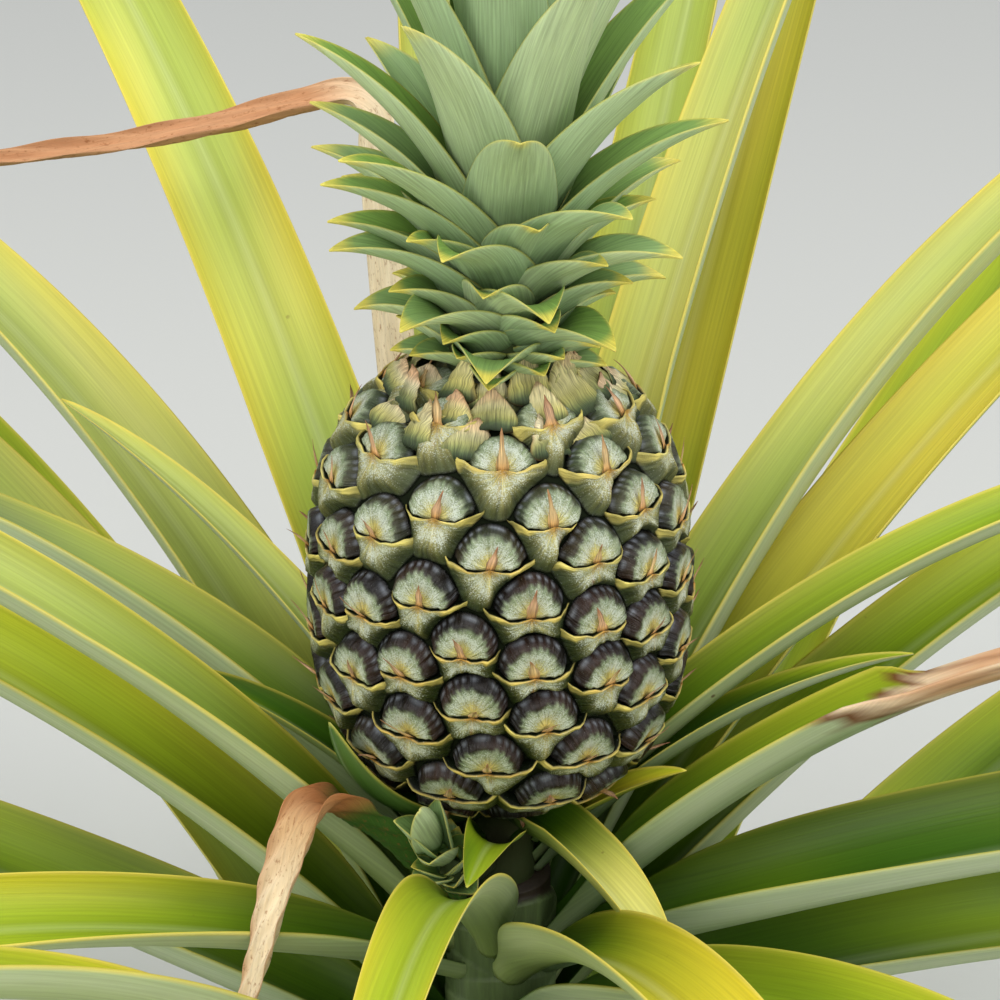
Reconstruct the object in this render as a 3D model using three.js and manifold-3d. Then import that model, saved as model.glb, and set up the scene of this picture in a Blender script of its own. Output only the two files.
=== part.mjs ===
// A pineapple plant in fruit: one rooted stem with its rosette of channelled leaves, the
// fruit with its crown on a short stalk, a small leafy shoot under the fruit, and dry leaves.
// Millimetres, +Z up. The origin is the middle of the flat cut under the stem, at ground level.

import * as THREE from 'three';
import { mergeVertices } from 'three/addons/utils/BufferGeometryUtils.js';
import Module from 'manifold-3d';

const wasm = await Module();
wasm.setup();

// Driving dimensions

const GAP = 0.3;                 // clearance between pieces that touch
const STEM_TOP = 250;            // height of the leafy stem
const STEM_R = 19;               // radius of the stem above its foot
const FOOT_R = 27;               // radius of the root flare at the ground
const FOOT_HEIGHT = 45;          // height over which the flare dies out
const STALK_R = 12.5;            // radius of the fruit stalk
const FRUIT_MID = 361;           // height of the fruit's widest place
const FRUIT_R = 62.5;            // radius of the rind
const FRUIT_HALF = 77;           // half the height of the fruit
const FRUIT_POWER = 2.6;         // 2 is an ellipse, larger is more barrel-shaped
const EYE_COUNT = 120;           // golden places on the rind that its fruitlets start from
const EYE_CLEAR = 17;            // a golden place nearer to a front fruitlet is dropped
const EYE_REACH = 32;            // distance within which fruitlets push each other
const EYE_STEP = 2;              // how far a push moves them
const EYE_BUMP = 3.4;            // how far a fruitlet stands out of its creases
const CREASE_DEPTH = 2.4;        // how far the creases lie inside the rind's mean surface
const GOLDEN = 137.5;            // turn from one fruitlet or crown leaf to the next, in degrees
const LEAF_WIDTH = 56;           // flat width of a full leaf
const LEAF_LENGTH = 620;         // length of a full leaf along its midrib
const LEAF_FOLD = 58;            // half the angle that a leaf's channel bends through
const LEAF_THICKNESS = 0.0102;   // thickness at the midrib, in leaf lengths

const rad = THREE.MathUtils.degToRad;
const clamp = THREE.MathUtils.clamp;
const bell = (x) => Math.exp(-x * x);
const smooth = (x) => clamp(x, 0, 1) ** 2 * (3 - 2 * clamp(x, 0, 1));

// Radius of whatever carries a leaf at height z: the stem, or the fruit stalk above it.
function carrierRadius(z) {
  const flare = (FOOT_R - STEM_R) * clamp(1 - z / FOOT_HEIGHT, 0, 1) ** 2;
  return z > STEM_TOP ? STALK_R : STEM_R + flare;
}

// Closed solids

// Skins a row of rings that have the same number of points, with flat ends.
// capFaces lists the triangles of the first ring's end, counter-clockwise from outside.
function loft(rings, capFaces) {
  const size = rings[0].length;
  const positions = rings.flat().flatMap((p) => [p.x, p.y, p.z]);
  const index = [];
  for (let i = 0; i + 1 < rings.length; i += 1) {
    for (let j = 0; j < size; j += 1) {
      const a = i * size + j;
      const b = i * size + (j + 1) % size;
      index.push(a, b + size, b, a, a + size, b + size);
    }
  }
  const last = (rings.length - 1) * size;
  for (const [a, b, c] of capFaces) {
    index.push(a, b, c, c + last, b + last, a + last);
  }
  const geometry = new THREE.BufferGeometry();
  geometry.setAttribute('position', new THREE.Float32BufferAttribute(positions, 3));
  geometry.setIndex(index);
  return geometry;
}

function toManifold(geometry) {
  const bare = geometry.clone();
  bare.deleteAttribute('normal');
  bare.deleteAttribute('uv');
  const merged = mergeVertices(bare, 1e-4);
  const vertProperties = new Float32Array(merged.attributes.position.array);
  const triVerts = new Uint32Array(merged.index.array);
  return new wasm.Manifold(new wasm.Mesh({ numProp: 3, vertProperties, triVerts }));
}

function toGeometry(manifold) {
  const mesh = manifold.getMesh();
  const geometry = new THREE.BufferGeometry();
  geometry.setAttribute('position', new THREE.BufferAttribute(mesh.vertProperties, 3));
  geometry.setIndex(new THREE.BufferAttribute(mesh.triVerts, 1));
  return geometry;
}

// Joins overlapping solids into one outer skin: sealed hollows are filled, scraps are
// dropped, and faces that lie within 0.1 mm of one plane become one.
function fuse(manifolds) {
  const whole = wasm.Manifold.union(manifolds).simplify(0.1);
  const shells = whole.decompose();
  shells.sort((a, b) => b.volume() - a.volume());
  return shells[0];
}

// Where two corners of a skin only touch, each moves 0.05 mm towards its own neighbours, so
// that they stay two corners.
function parted(geometry) {
  const position = geometry.attributes.position;
  const corners = Array.from({ length: position.count }, (_, i) => (
    new THREE.Vector3().fromBufferAttribute(position, i)
  ));
  const atPlace = new Map();
  corners.forEach((corner, i) => {
    const place = corner.toArray().map((value) => value.toFixed(3)).join(' ');
    atPlace.set(place, [...(atPlace.get(place) ?? []), i]);
  });
  const index = geometry.index.array;
  for (const touching of atPlace.values()) {
    for (const i of touching.length > 1 ? touching : []) {
      const middle = new THREE.Vector3();
      for (let f = 0; f < index.length; f += 3) {
        const face = [index[f], index[f + 1], index[f + 2]];
        if (face.includes(i)) {
          face.forEach((k) => middle.add(corners[k]).sub(corners[i]));
        }
      }
      const moved = corners[i].clone().addScaledVector(middle.normalize(), 0.05);
      position.setXYZ(i, moved.x, moved.y, moved.z);
    }
  }
  return geometry;
}

// Leaves

// Heading and pitch in radians at the fraction u of a leaf's length.
// A leaf leaves the stem at pitch0, arches to pitch1, and swings sideways by sweep.
// A leaf with a bend turns sharply by bend.pitch and bend.heading just past bend.at.
function direction(leaf, u) {
  let pitch = leaf.pitch0 + (leaf.pitch1 - leaf.pitch0) * u ** 1.2;
  let heading = leaf.azimuth + leaf.sweep * u ** 1.5;
  if (leaf.bend) {
    const turn = smooth((u - leaf.bend.at) / leaf.bend.over);
    pitch += leaf.bend.pitch * turn;
    heading += leaf.bend.heading * turn;
  }
  return { pitch: rad(pitch), heading: rad(heading) };
}

// Half the flat width at u: narrower at the foot, full soon after, running out to a point.
function halfWidth(leaf, u) {
  const taper = (1 - u) ** 0.7 * (1 + 0.8 * u);
  return leaf.width / 2 * taper * (1 - 0.5 * bell(u / 0.08));
}

function thickness(leaf, u) {
  const share = Math.min(1, 0.45 + 4 * u, 0.2 + 2.5 * (1 - u));
  return (leaf.thick ?? LEAF_THICKNESS * leaf.length) * share;
}

// The section runs along the inner face from one margin to the other, then back outside.
// Each point is a place across the leaf from -1 to 1, and whether it is on the outer face.
const SECTION = [
  [-1, 0], [-0.5, 0], [0, 0], [0.5, 0], [1, 0], [0.55, 1], [0, 1], [-0.55, 1],
];
const SECTION_CAP = [[0, 1, 7], [1, 6, 7], [1, 2, 6], [2, 5, 6], [2, 3, 5], [3, 4, 5]];

// Rings of a leaf whose midrib starts at the distance start from the stem's axis.
function leafRings(leaf, stations, start, section = SECTION) {
  const steps = 48;
  const points = [new THREE.Vector3(
    start * Math.cos(rad(leaf.azimuth)), start * Math.sin(rad(leaf.azimuth)), leaf.height,
  )];
  for (let i = 0; i < steps; i += 1) {
    const { pitch, heading } = direction(leaf, (i + 0.5) / steps);
    const step = new THREE.Vector3(
      Math.cos(pitch) * Math.cos(heading), Math.cos(pitch) * Math.sin(heading), Math.sin(pitch),
    );
    points.push(points[i].clone().addScaledVector(step, leaf.length / steps));
  }
  return stations.map((u) => {
    const place = Math.min(u * steps, steps - 1e-6);
    const low = Math.floor(place);
    const centre = points[low].clone().lerp(points[low + 1], place - low);
    const { pitch, heading } = direction(leaf, u);
    const along = new THREE.Vector3(
      Math.cos(pitch) * Math.cos(heading), Math.cos(pitch) * Math.sin(heading), Math.sin(pitch),
    );
    const roll = rad(leaf.roll) * clamp(u / 0.3, 0, 1);
    const side = new THREE.Vector3(-Math.sin(heading), Math.cos(heading), 0);
    const up = new THREE.Vector3().crossVectors(along, side);
    side.applyAxisAngle(along, roll);
    up.applyAxisAngle(along, roll);
    const half = halfWidth(leaf, u);
    const fold = rad(leaf.fold) * (1 + 0.35 * bell(u / 0.15));
    const bend = half / fold;
    return section.map(([across, outer]) => {
      const turn = fold * across;
      const depth = outer * thickness(leaf, u) * (across === 0 ? 1 : 0.8);
      return centre.clone()
        .addScaledVector(side, (bend + depth) * Math.sin(turn))
        .addScaledVector(up, bend - (bend + depth) * Math.cos(turn));
    });
  });
}

// Distance from the axis at which the leaf's foot clears its carrier by the gap.
function startDistance(leaf) {
  const carrier = carrierRadius(leaf.height);
  const [ring] = leafRings(leaf, [0], 0);
  const outward = new THREE.Vector2(Math.cos(rad(leaf.azimuth)), Math.sin(rad(leaf.azimuth)));
  let near = 0;
  let far = carrier + 60;
  for (let pass = 0; pass < 24; pass += 1) {
    const middle = (near + far) / 2;
    let least = Infinity;
    ring.forEach((point, i) => {
      const next = ring[(i + 1) % ring.length];
      for (const share of [0, 0.25, 0.5, 0.75]) {
        const x = THREE.MathUtils.lerp(point.x, next.x, share) + outward.x * middle;
        const y = THREE.MathUtils.lerp(point.y, next.y, share) + outward.y * middle;
        least = Math.min(least, Math.hypot(x, y));
      }
    });
    if (least < carrier + GAP + 0.05) {
      near = middle;
    } else {
      far = middle;
    }
  }
  return far;
}

function spread(from, to, count) {
  return Array.from({ length: count }, (_, i) => from + (to - from) * i / (count - 1));
}

// Stations along a leaf: even, and closer together through a fold.
function stationsOf(leaf) {
  if (!leaf.bend) {
    return spread(0, 0.985, 10);
  }
  const { at, over } = leaf.bend;
  return [...spread(0, at, 6), ...spread(at, at + over, 5).slice(1), ...spread(at + over, 0.985, 6).slice(1)];
}

function leafGeometry(leaf) {
  return loft(leafRings(leaf, stationsOf(leaf), startDistance(leaf)), SECTION_CAP);
}

// A leaf of the rosette: azimuth 0 points along +X and 90 along +Y, height is where it
// leaves the stem, and its pitch above the level goes from pitch0 at the stem to pitch1 at
// the tip. shape holds what differs from a full leaf. All angles are in degrees.
function leafRow(azimuth, height, pitch0, pitch1, shape) {
  const full = { sweep: 0, roll: 0, length: LEAF_LENGTH, width: LEAF_WIDTH, fold: LEAF_FOLD };
  return { ...full, azimuth, height, pitch0, pitch1, ...shape };
}

// Fruit

// Point on the barrel of the rind at the latitude phi, as [radius, height].
function rindProfile(phi) {
  const power = 2 / FRUIT_POWER;
  const rise = Math.sign(phi) * Math.abs(Math.sin(phi)) ** power;
  return [FRUIT_R * Math.abs(Math.cos(phi)) ** power, FRUIT_MID + FRUIT_HALF * rise];
}

// Fruitlets on the rind's -Y side, from the top down: azimuth in degrees, and height.
const FRONT_EYES = [
  [-153, 434],
  [165, 429],
  [-65, 429],
  [-121, 429],
  [-22, 426],
  [18, 422],
  [-89, 420],
  [-177, 420],
  [-142, 418],
  [-49, 416],
  [-10, 412],
  [-111, 406],
  [-73, 404],
  [-161, 404],
  [-39, 402],
  [7, 398],
  [-132, 396],
  [-93, 392],
  [-60, 391],
  [-18, 390],
  [-150, 385],
  [-40, 381],
  [-114, 378],
  [-81, 376],
  [-20, 370],
  [-134, 369],
  [-59, 368],
  [-154, 364],
  [-101, 362],
  [-39, 360],
  [-80, 355],
  [-120, 352],
  [-168, 349],
  [-56, 348],
  [-19, 345],
  [-139, 345],
  [-98, 341],
  [-40, 337],
  [-76, 335],
  [-119, 330],
  [-155, 329],
  [-61, 320],
  [-94, 319],
  [-32, 316],
  [-138, 314],
  [-109, 305],
  [-70, 302],
  [-38, 296],
];

// Moves a point onto the barrel, straight away from the fruit's middle or towards it.
function ontoRind(point) {
  const across = Math.hypot(point.x, point.y) / FRUIT_R;
  const rise = (point.z - FRUIT_MID) / FRUIT_HALF;
  const out = (across ** FRUIT_POWER + Math.abs(rise) ** FRUIT_POWER) ** (1 / FRUIT_POWER);
  return new THREE.Vector3(point.x / out, point.y / out, FRUIT_MID + FRUIT_HALF * rise / out);
}

// Places that take the same area of rind each, a golden turn on from the last.
function goldenPlaces() {
  const steps = 400;
  const area = [0];
  for (let i = 0; i < steps; i += 1) {
    const [r0, z0] = rindProfile(Math.PI * (i / steps - 0.5));
    const [r1, z1] = rindProfile(Math.PI * ((i + 1) / steps - 0.5));
    area.push(area[i] + (r0 + r1) * Math.hypot(r1 - r0, z1 - z0));
  }
  const places = [];
  let step = 0;
  for (let n = 0; n < EYE_COUNT; n += 1) {
    const wanted = area[steps] * (n + 0.5) / EYE_COUNT;
    while (area[step + 1] < wanted) {
      step += 1;
    }
    const share = (wanted - area[step]) / (area[step + 1] - area[step]);
    const [r, z] = rindProfile(Math.PI * ((step + share) / steps - 0.5));
    const turn = rad(GOLDEN * n);
    places.push(new THREE.Vector3(r * Math.cos(turn), r * Math.sin(turn), z));
  }
  return places;
}

// Middles of all fruitlets. Those behind and at both ends start at the golden places that
// are clear of the front ones, and are then pushed apart.
function eyePlaces() {
  const front = FRONT_EYES.map(([azimuth, height]) => {
    const rise = Math.abs(height - FRUIT_MID) / FRUIT_HALF;
    const r = FRUIT_R * (1 - rise ** FRUIT_POWER) ** (1 / FRUIT_POWER);
    return new THREE.Vector3(r * Math.cos(rad(azimuth)), r * Math.sin(rad(azimuth)), height);
  });
  let others = goldenPlaces().filter((place) => (
    front.every((eye) => eye.distanceTo(place) > EYE_CLEAR)
  ));
  for (let round = 0; round < 60; round += 1) {
    const all = [...front, ...others];
    others = others.map((eye) => {
      const moved = eye.clone();
      for (const other of all) {
        const apart = eye.distanceTo(other);
        if (apart > 0 && apart < EYE_REACH) {
          const push = EYE_STEP * (1 - apart / EYE_REACH) ** 2 / apart;
          moved.addScaledVector(eye.clone().sub(other), push);
        }
      }
      return ontoRind(moved);
    });
  }
  return [...front, ...others];
}

// The rind bulges at each fruitlet and sinks at the creases half-way between two.
// Its two ends are smooth, where the stalk and the crown sit.
function fruitGeometry() {
  const eyes = eyePlaces();
  const geometry = new THREE.SphereGeometry(1, 44, 25);
  geometry.rotateX(Math.PI / 2);
  geometry.deleteAttribute('normal');
  geometry.deleteAttribute('uv');
  const rind = mergeVertices(geometry, 1e-5);
  const position = rind.attributes.position;
  for (let i = 0; i < position.count; i += 1) {
    const sphere = new THREE.Vector3().fromBufferAttribute(position, i);
    const [radius, height] = rindProfile(Math.asin(clamp(sphere.z, -1, 1)));
    const flat = Math.hypot(sphere.x, sphere.y);
    const outward = flat > 1e-6 ? [sphere.x / flat, sphere.y / flat] : [0, 0];
    const place = new THREE.Vector3(radius * outward[0], radius * outward[1], height);
    const distances = eyes.map((eye) => eye.distanceTo(place)).sort((a, b) => a - b);
    const fromCrease = smooth((distances[1] - distances[0]) / 11);
    const bump = (EYE_BUMP * fromCrease - CREASE_DEPTH) * smooth((radius - 24) / 10);
    const push = sphere.clone().multiplyScalar(bump);
    position.setXYZ(i, place.x + push.x, place.y + push.y, place.z + push.z);
  }
  return rind;
}

// Crown, and the young shoot, which is a small crown

// A tuft stands on its own origin along +Z. Its leaves overlap like scales: the lowest are
// short and curl out and down, the topmost are long and upright.
function tuftSolid(tuft) {
  const core = new THREE.LatheGeometry([
    new THREE.Vector2(0, 0),
    new THREE.Vector2(tuft.coreFoot, 0),
    new THREE.Vector2(tuft.coreFoot, tuft.coreHeight * 0.2),
    new THREE.Vector2(tuft.coreTop, tuft.coreHeight),
    new THREE.Vector2(0, tuft.coreHeight + tuft.coreTop),
  ], 20);
  core.rotateX(Math.PI / 2);
  const parts = [toManifold(core)];
  for (let n = 0; n < tuft.count; n += 1) {
    const rise = n / (tuft.count - 1);
    const leaf = {
      azimuth: tuft.turn + GOLDEN * n,
      height: tuft.coreHeight * (0.04 + 0.9 * rise),
      pitch0: tuft.footPitch + (88 - tuft.footPitch) * rise ** 1.1,
      pitch1: tuft.tipPitch + (85 - tuft.tipPitch) * rise ** 1.3,
      sweep: 0,
      roll: 0,
      length: tuft.shortest + (tuft.longest - tuft.shortest) * rise ** 1.3,
      width: tuft.width,
      fold: tuft.fold,
      thick: tuft.thick,
    };
    const radius = tuft.coreFoot + (tuft.coreTop - tuft.coreFoot) * rise;
    parts.push(toManifold(tuftLeaf(leaf, radius * 0.8)));
  }
  return fuse(parts);
}

// A tuft's leaf has a plainer section, and is broad at its foot.
const TUFT_SECTION = [[-1, 0], [0, 0], [1, 0], [0.5, 1], [-0.5, 1]];
const TUFT_SECTION_CAP = [[0, 1, 4], [1, 3, 4], [1, 2, 3]];

function tuftLeaf(leaf, start) {
  const stations = [0, 0.2, 0.45, 0.75, 0.98];
  return loft(leafRings(leaf, stations, start, TUFT_SECTION), TUFT_SECTION_CAP);
}

const CROWN = {
  turn: -96, count: 42, coreFoot: 18, coreTop: 9, coreHeight: 76,
  shortest: 34, longest: 152, width: 36, fold: 52, thick: 2.1, footPitch: 43, tipPitch: -23,
};
const SHOOT = {
  turn: 60, count: 9, coreFoot: 7, coreTop: 2.5, coreHeight: 26,
  shortest: 12, longest: 28, width: 17, fold: 60, thick: 1.6, footPitch: 42, tipPitch: 30,
};
const CROWN_LEAN = 2.5;          // the crown leans towards +X, in degrees
const SHOOT_AZIMUTH = -117;      // where the young shoot leaves the fruit stalk
const SHOOT_HEIGHT = 259;        // height of its twig
const SHOOT_REACH = 32;          // from the stem's axis to the foot of its tuft
const SHOOT_LEAN = 38;           // its tuft leans outwards by this, in degrees

// The shoot is built pointing along +X: a bent twig off the fruit stalk, then its tuft.
function shootSolid() {
  const foot = new THREE.Vector3(SHOOT_REACH, 0, SHOOT_HEIGHT + 5);
  const route = new THREE.CatmullRomCurve3([
    new THREE.Vector3(STALK_R + 2 * GAP, 0, SHOOT_HEIGHT),
    new THREE.Vector3((STALK_R + SHOOT_REACH) / 2, 0, SHOOT_HEIGHT + 1),
    foot.clone().add(new THREE.Vector3(1, 0, 1)),
  ]);
  const outline = new THREE.Shape().absarc(0, 0, 4.5, 0, 2 * Math.PI);
  const twig = new THREE.ExtrudeGeometry(outline, {
    steps: 4, curveSegments: 3, bevelEnabled: false, extrudePath: route,
  });
  const tuft = toGeometry(tuftSolid(SHOOT));
  tuft.rotateY(rad(SHOOT_LEAN));
  tuft.translate(foot.x, foot.y, foot.z);
  return fuse([toManifold(twig), toManifold(tuft)]);
}

// Stem and stalk

function stemGeometry() {
  const profile = [new THREE.Vector2(0, 0)];
  for (let i = 0; i <= 4; i += 1) {
    const z = FOOT_HEIGHT * i / 4;
    profile.push(new THREE.Vector2(carrierRadius(z), z));
  }
  profile.push(new THREE.Vector2(STEM_R, STEM_TOP), new THREE.Vector2(0, STEM_TOP));
  return turned(profile, 24);
}

// The stalk stands on the stem and widens a little under the fruit.
function stalkGeometry() {
  const top = FRUIT_MID - FRUIT_HALF - GAP;
  return turned([
    new THREE.Vector2(0, STEM_TOP + GAP),
    new THREE.Vector2(STALK_R, STEM_TOP + GAP),
    new THREE.Vector2(STALK_R, top - 8),
    new THREE.Vector2(STALK_R + 1.5, top),
    new THREE.Vector2(0, top),
  ], 24);
}

function turned(profile, sides) {
  const geometry = new THREE.LatheGeometry(profile, sides);
  geometry.rotateX(Math.PI / 2);
  return geometry;
}

// Assembly

const LEAVES = [
  // Upper leaves behind the fruit, the steepest
  leafRow(117, 196, 60, 1, { sweep: 8, roll: 21, width: 43, fold: 55 }),
  leafRow(124, 219, 64, 10, { sweep: -3, roll: -31, width: 46, fold: 47 }),
  leafRow(73, 194, 62, 34, { sweep: -3, roll: -3, width: 42, fold: 67, length: 600 }),
  leafRow(94, 156, 58, 27, { sweep: 4, roll: 7, width: 57, fold: 59 }),
  leafRow(66, 181, 56, 48, { sweep: -4, roll: 8, width: 46, fold: 57 }),
  leafRow(65, 232, 61, 35, { sweep: -21, roll: -24, width: 45, fold: 52 }),
  // Leaves to the left, from the top down
  leafRow(136, 177, 56, -12, { sweep: 6, roll: 7, width: 57, fold: 62 }),
  leafRow(145, 255, 51, 14, { sweep: -3, roll: 1, width: 25, fold: 69, length: 222 }),
  leafRow(139, 112, 51, -8, { sweep: -4, roll: -12, width: 59, fold: 50 }),
  leafRow(163, 246, 45, -60, { sweep: 22, roll: 19, width: 55, fold: 70 }),
  leafRow(-164, 228, 54, -4, { sweep: 13, roll: -19, width: 38, fold: 70 }),
  leafRow(-176, 252, 54, 23, { sweep: -2, roll: -12, width: 25, fold: 70, length: 125 }),
  leafRow(-177, 187, 54, -21, { sweep: 10, roll: -12, width: 50, fold: 66 }),
  leafRow(169, 164, 26, -20, { sweep: -12, roll: 2, width: 60, fold: 62 }),
  leafRow(-147, 216, 30, -41, { sweep: -5, roll: -21, width: 40, fold: 68 }),
  leafRow(-121, 111, 58, -12, { sweep: -24, roll: 8, width: 44, fold: 67 }),
  leafRow(-143, 274, 14, 80, { sweep: 4, roll: 2, width: 26, fold: 58, length: 85 }),
  // Leaves to the right, from the top down
  leafRow(40, 218, 59, -7, { sweep: -19, roll: -14, width: 48, fold: 65 }),
  leafRow(31, 205, 54, 9, { sweep: -9, roll: 4, width: 46, fold: 46 }),
  leafRow(10, 257, 48, -31, { sweep: 3, roll: -3, width: 34, fold: 61, length: 450 }),
  leafRow(20, 195, 48, -17, { sweep: -16, width: 50, fold: 58 }),
  leafRow(7, 251, 48, 8, { roll: -11, width: 31, fold: 59, length: 150 }),
  leafRow(-15, 228, 52, -29, { sweep: -11, roll: -7, width: 51, fold: 58, length: 480 }),
  leafRow(-15, 216, 27, -9, { sweep: 1, roll: 8, width: 62, fold: 68 }),
  leafRow(-7, 183, 24, -31, { sweep: 4, roll: 4, width: 64, fold: 54 }),
  leafRow(-59, 198, 35, -38, { width: 61, fold: 57 }),
  leafRow(-17, 264, 45, 21, { roll: 12, width: 19, fold: 62, length: 62 }),
  // Leaves in front, arching over and down
  leafRow(-98, 230, 50, -41, { sweep: -3, roll: 5, width: 35, fold: 62, length: 330 }),
  leafRow(-74, 219, 41, -43, { sweep: 12, roll: -3, width: 47, fold: 68, length: 420 }),
  leafRow(-57, 274, 10, -45, { sweep: 5, roll: -16, width: 35, fold: 69, length: 95 }),
  leafRow(-93, 266, 36, 7, { sweep: -6, roll: -13, width: 26, fold: 70, length: 110 }),
  leafRow(-78, 128, 41, -19, { sweep: -4, roll: -2, width: 56, fold: 50, length: 560 }),
  leafRow(-114, 100, 35, -35, { roll: -7, width: 62, fold: 53, length: 560 }),
  leafRow(-77, 88, 30, -4, { sweep: -13, roll: 2, width: 59, fold: 52, length: 540 }),
  leafRow(-116, 56, 19, -18, { sweep: 12, roll: -7, width: 61, fold: 68, length: 500 }),
  // Lower and hidden leaves all round
  leafRow(94, 148, 44, 23, { sweep: -6, roll: -6, width: 61, fold: 52 }),
  leafRow(90, 127, 42, 29, { sweep: -5, roll: -3, width: 56, fold: 57 }),
  leafRow(59, 86, 45, 4, { sweep: 1, roll: -5, width: 51, fold: 55 }),
  leafRow(124, 80, 36, 9, { sweep: 9, roll: 2, width: 61, fold: 56 }),
  leafRow(42, 63, 40, -24, { roll: -4, width: 59, fold: 56 }),
  leafRow(96, 45, 24, -13, { sweep: 4, width: 58, fold: 59 }),
  leafRow(156, 57, 19, -10, { roll: 4, width: 61, fold: 62, length: 600 }),
  leafRow(-153, 83, 13, -12, { sweep: -4, roll: 2, width: 67, fold: 52, length: 600 }),
  leafRow(24, 50, 14, -11, { roll: 5, width: 60, fold: 48, length: 600 }),
  leafRow(-31, 57, 36, -17, { sweep: 9, roll: -3, width: 63, fold: 57, length: 560 }),
];
const DRY_LEAF_FRONT = leafRow(-142, 247, 49, 34, {
  sweep: 1, roll: 7, width: 24, fold: 70, length: 215,
  bend: { at: 0.3, over: 0.12, pitch: -95, heading: 22 },
});
const DRY_LEAF_BACK = leafRow(108, 207, 57, 101, {
  sweep: 7, roll: -18, width: 25, fold: 70, length: 520,
  bend: { at: 0.55, over: 0.06, pitch: -92, heading: 85 },
});

const plant = new THREE.Group();

function addPiece(name, geometry, look) {
  const mesh = new THREE.Mesh(geometry, new THREE.MeshStandardMaterial(look));
  mesh.name = name;
  plant.add(mesh);
  return mesh;
}

const STEM_LOOK = { color: 0x6b7040, roughness: 0.8, metalness: 0 };
const RIND_LOOK = { color: 0x4f5438, roughness: 0.45, metalness: 0 };
const LEAF_LOOK = { color: 0x8fa52f, roughness: 0.5, metalness: 0 };
const CROWN_LOOK = { color: 0x7d9a6c, roughness: 0.5, metalness: 0 };
const DRY_LOOK = { color: 0xc09a68, roughness: 0.85, metalness: 0 };

addPiece('stem', stemGeometry(), STEM_LOOK);
addPiece('fruit_stalk', stalkGeometry(), STEM_LOOK);
addPiece('fruit', fruitGeometry(), RIND_LOOK);

const crown = addPiece('crown', parted(toGeometry(tuftSolid(CROWN))), CROWN_LOOK);
crown.position.z = FRUIT_MID + FRUIT_HALF + GAP;
crown.rotation.y = rad(CROWN_LEAN);

const shoot = addPiece('young_shoot', parted(toGeometry(shootSolid())), CROWN_LOOK);
shoot.rotation.z = rad(SHOOT_AZIMUTH);

LEAVES.forEach((leaf, i) => {
  const number = String(i + 1).padStart(2, '0');
  addPiece(`leaf_${number}`, leafGeometry(leaf), LEAF_LOOK);
});
addPiece('dry_leaf_front', leafGeometry(DRY_LEAF_FRONT), DRY_LOOK);
addPiece('dry_leaf_back', leafGeometry(DRY_LEAF_BACK), DRY_LOOK);

export default plant;
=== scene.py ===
"""A pineapple plant in fruit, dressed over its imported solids. Metres, +Z up."""

import math

import bpy
import numpy as np
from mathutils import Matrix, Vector


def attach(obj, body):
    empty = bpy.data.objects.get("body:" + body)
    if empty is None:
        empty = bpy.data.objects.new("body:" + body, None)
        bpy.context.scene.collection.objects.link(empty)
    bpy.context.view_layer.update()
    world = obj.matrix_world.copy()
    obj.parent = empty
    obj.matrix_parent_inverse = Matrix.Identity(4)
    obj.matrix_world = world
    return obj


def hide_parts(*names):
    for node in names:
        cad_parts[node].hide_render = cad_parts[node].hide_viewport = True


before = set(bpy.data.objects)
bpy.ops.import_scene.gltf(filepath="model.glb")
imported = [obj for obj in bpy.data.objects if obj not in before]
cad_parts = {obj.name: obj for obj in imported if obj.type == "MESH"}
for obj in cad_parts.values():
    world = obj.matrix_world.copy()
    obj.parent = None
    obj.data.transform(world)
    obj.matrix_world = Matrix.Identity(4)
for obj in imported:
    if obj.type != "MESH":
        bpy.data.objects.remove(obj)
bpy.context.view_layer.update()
MM = 0.001  # sizes below are in millimetres and angles in degrees, as in the solids


# Leafy stem and fruit stalk
# The short woody stem carries every leaf. Old leaf scars ring it, and the fruit stalk
# grows out of its top; both are living, fibrous tissue.
STEM_TOP, STEM_R, FOOT_R, FOOT_HEIGHT = 250, 19.0, 27.0, 45.0
STALK_R, STALK_TOP = 12.5, 287.0
GOLDEN = 137.5  # from one leaf, scale or fruitlet of a spiral to the next
GAP = 0.3  # between two solids that meet
SHEATH_COUNT, SHEATH_FIRST, SHEATH_LAST = 66, 12, 249
SHEATH_SPREAD, SHEATH_DROP, SHEATH_TALL, SHEATH_THICK = 1.5, 9, 34, 2.4  # the spread is in radians
STEM_INSET = 1.6  # of the bare stem inside its solid


def tone(code):
    """The linear colour of an sRGB hex code, as red, green, blue and 1."""
    c = np.array([int(code[i:i + 2], 16) for i in (1, 3, 5)]) / 255
    c = np.where(c <= 0.04045, c / 12.92, ((c + 0.055) / 1.055) ** 2.4)
    return (*c.tolist(), 1.0)


def tones(*codes):
    """The linear colours of several hex codes, one a row."""
    return np.array([tone(c)[:3] for c in codes])


def smooth(x):
    """0 below 0, 1 above 1, and an even S-shaped rise between."""
    x = np.clip(x, 0, 1)
    return x * x * (3 - 2 * x)


def bell(x):
    """1 at 0, falling off on both sides as exp(-x squared)."""
    return np.exp(-np.asarray(x, float) ** 2)


def mixed(a, b, share):
    """From a to b by share, with share spread over the colours' last axis."""
    share = np.asarray(share)[..., None]
    return a * (1 - share) + b * share


def add(tree, kind, inputs=None, **settings):
    """Adds a shader node: settings are its options, inputs are values or outputs to link."""
    made = tree.nodes.new("ShaderNode" + kind)
    for key, value in settings.items():
        setattr(made, key, value)
    for key, value in (inputs or {}).items():
        if isinstance(value, bpy.types.NodeSocket):
            tree.links.new(value, made.inputs[key])
        else:
            made.inputs[key].default_value = value
    return made


def new_material(name):
    """An empty material with its Principled shader, as material, node tree and shader."""
    material = bpy.data.materials.new(name)
    material.use_nodes = True
    shader = material.node_tree.nodes["Principled BSDF"]
    return material, material.node_tree, shader


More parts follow.
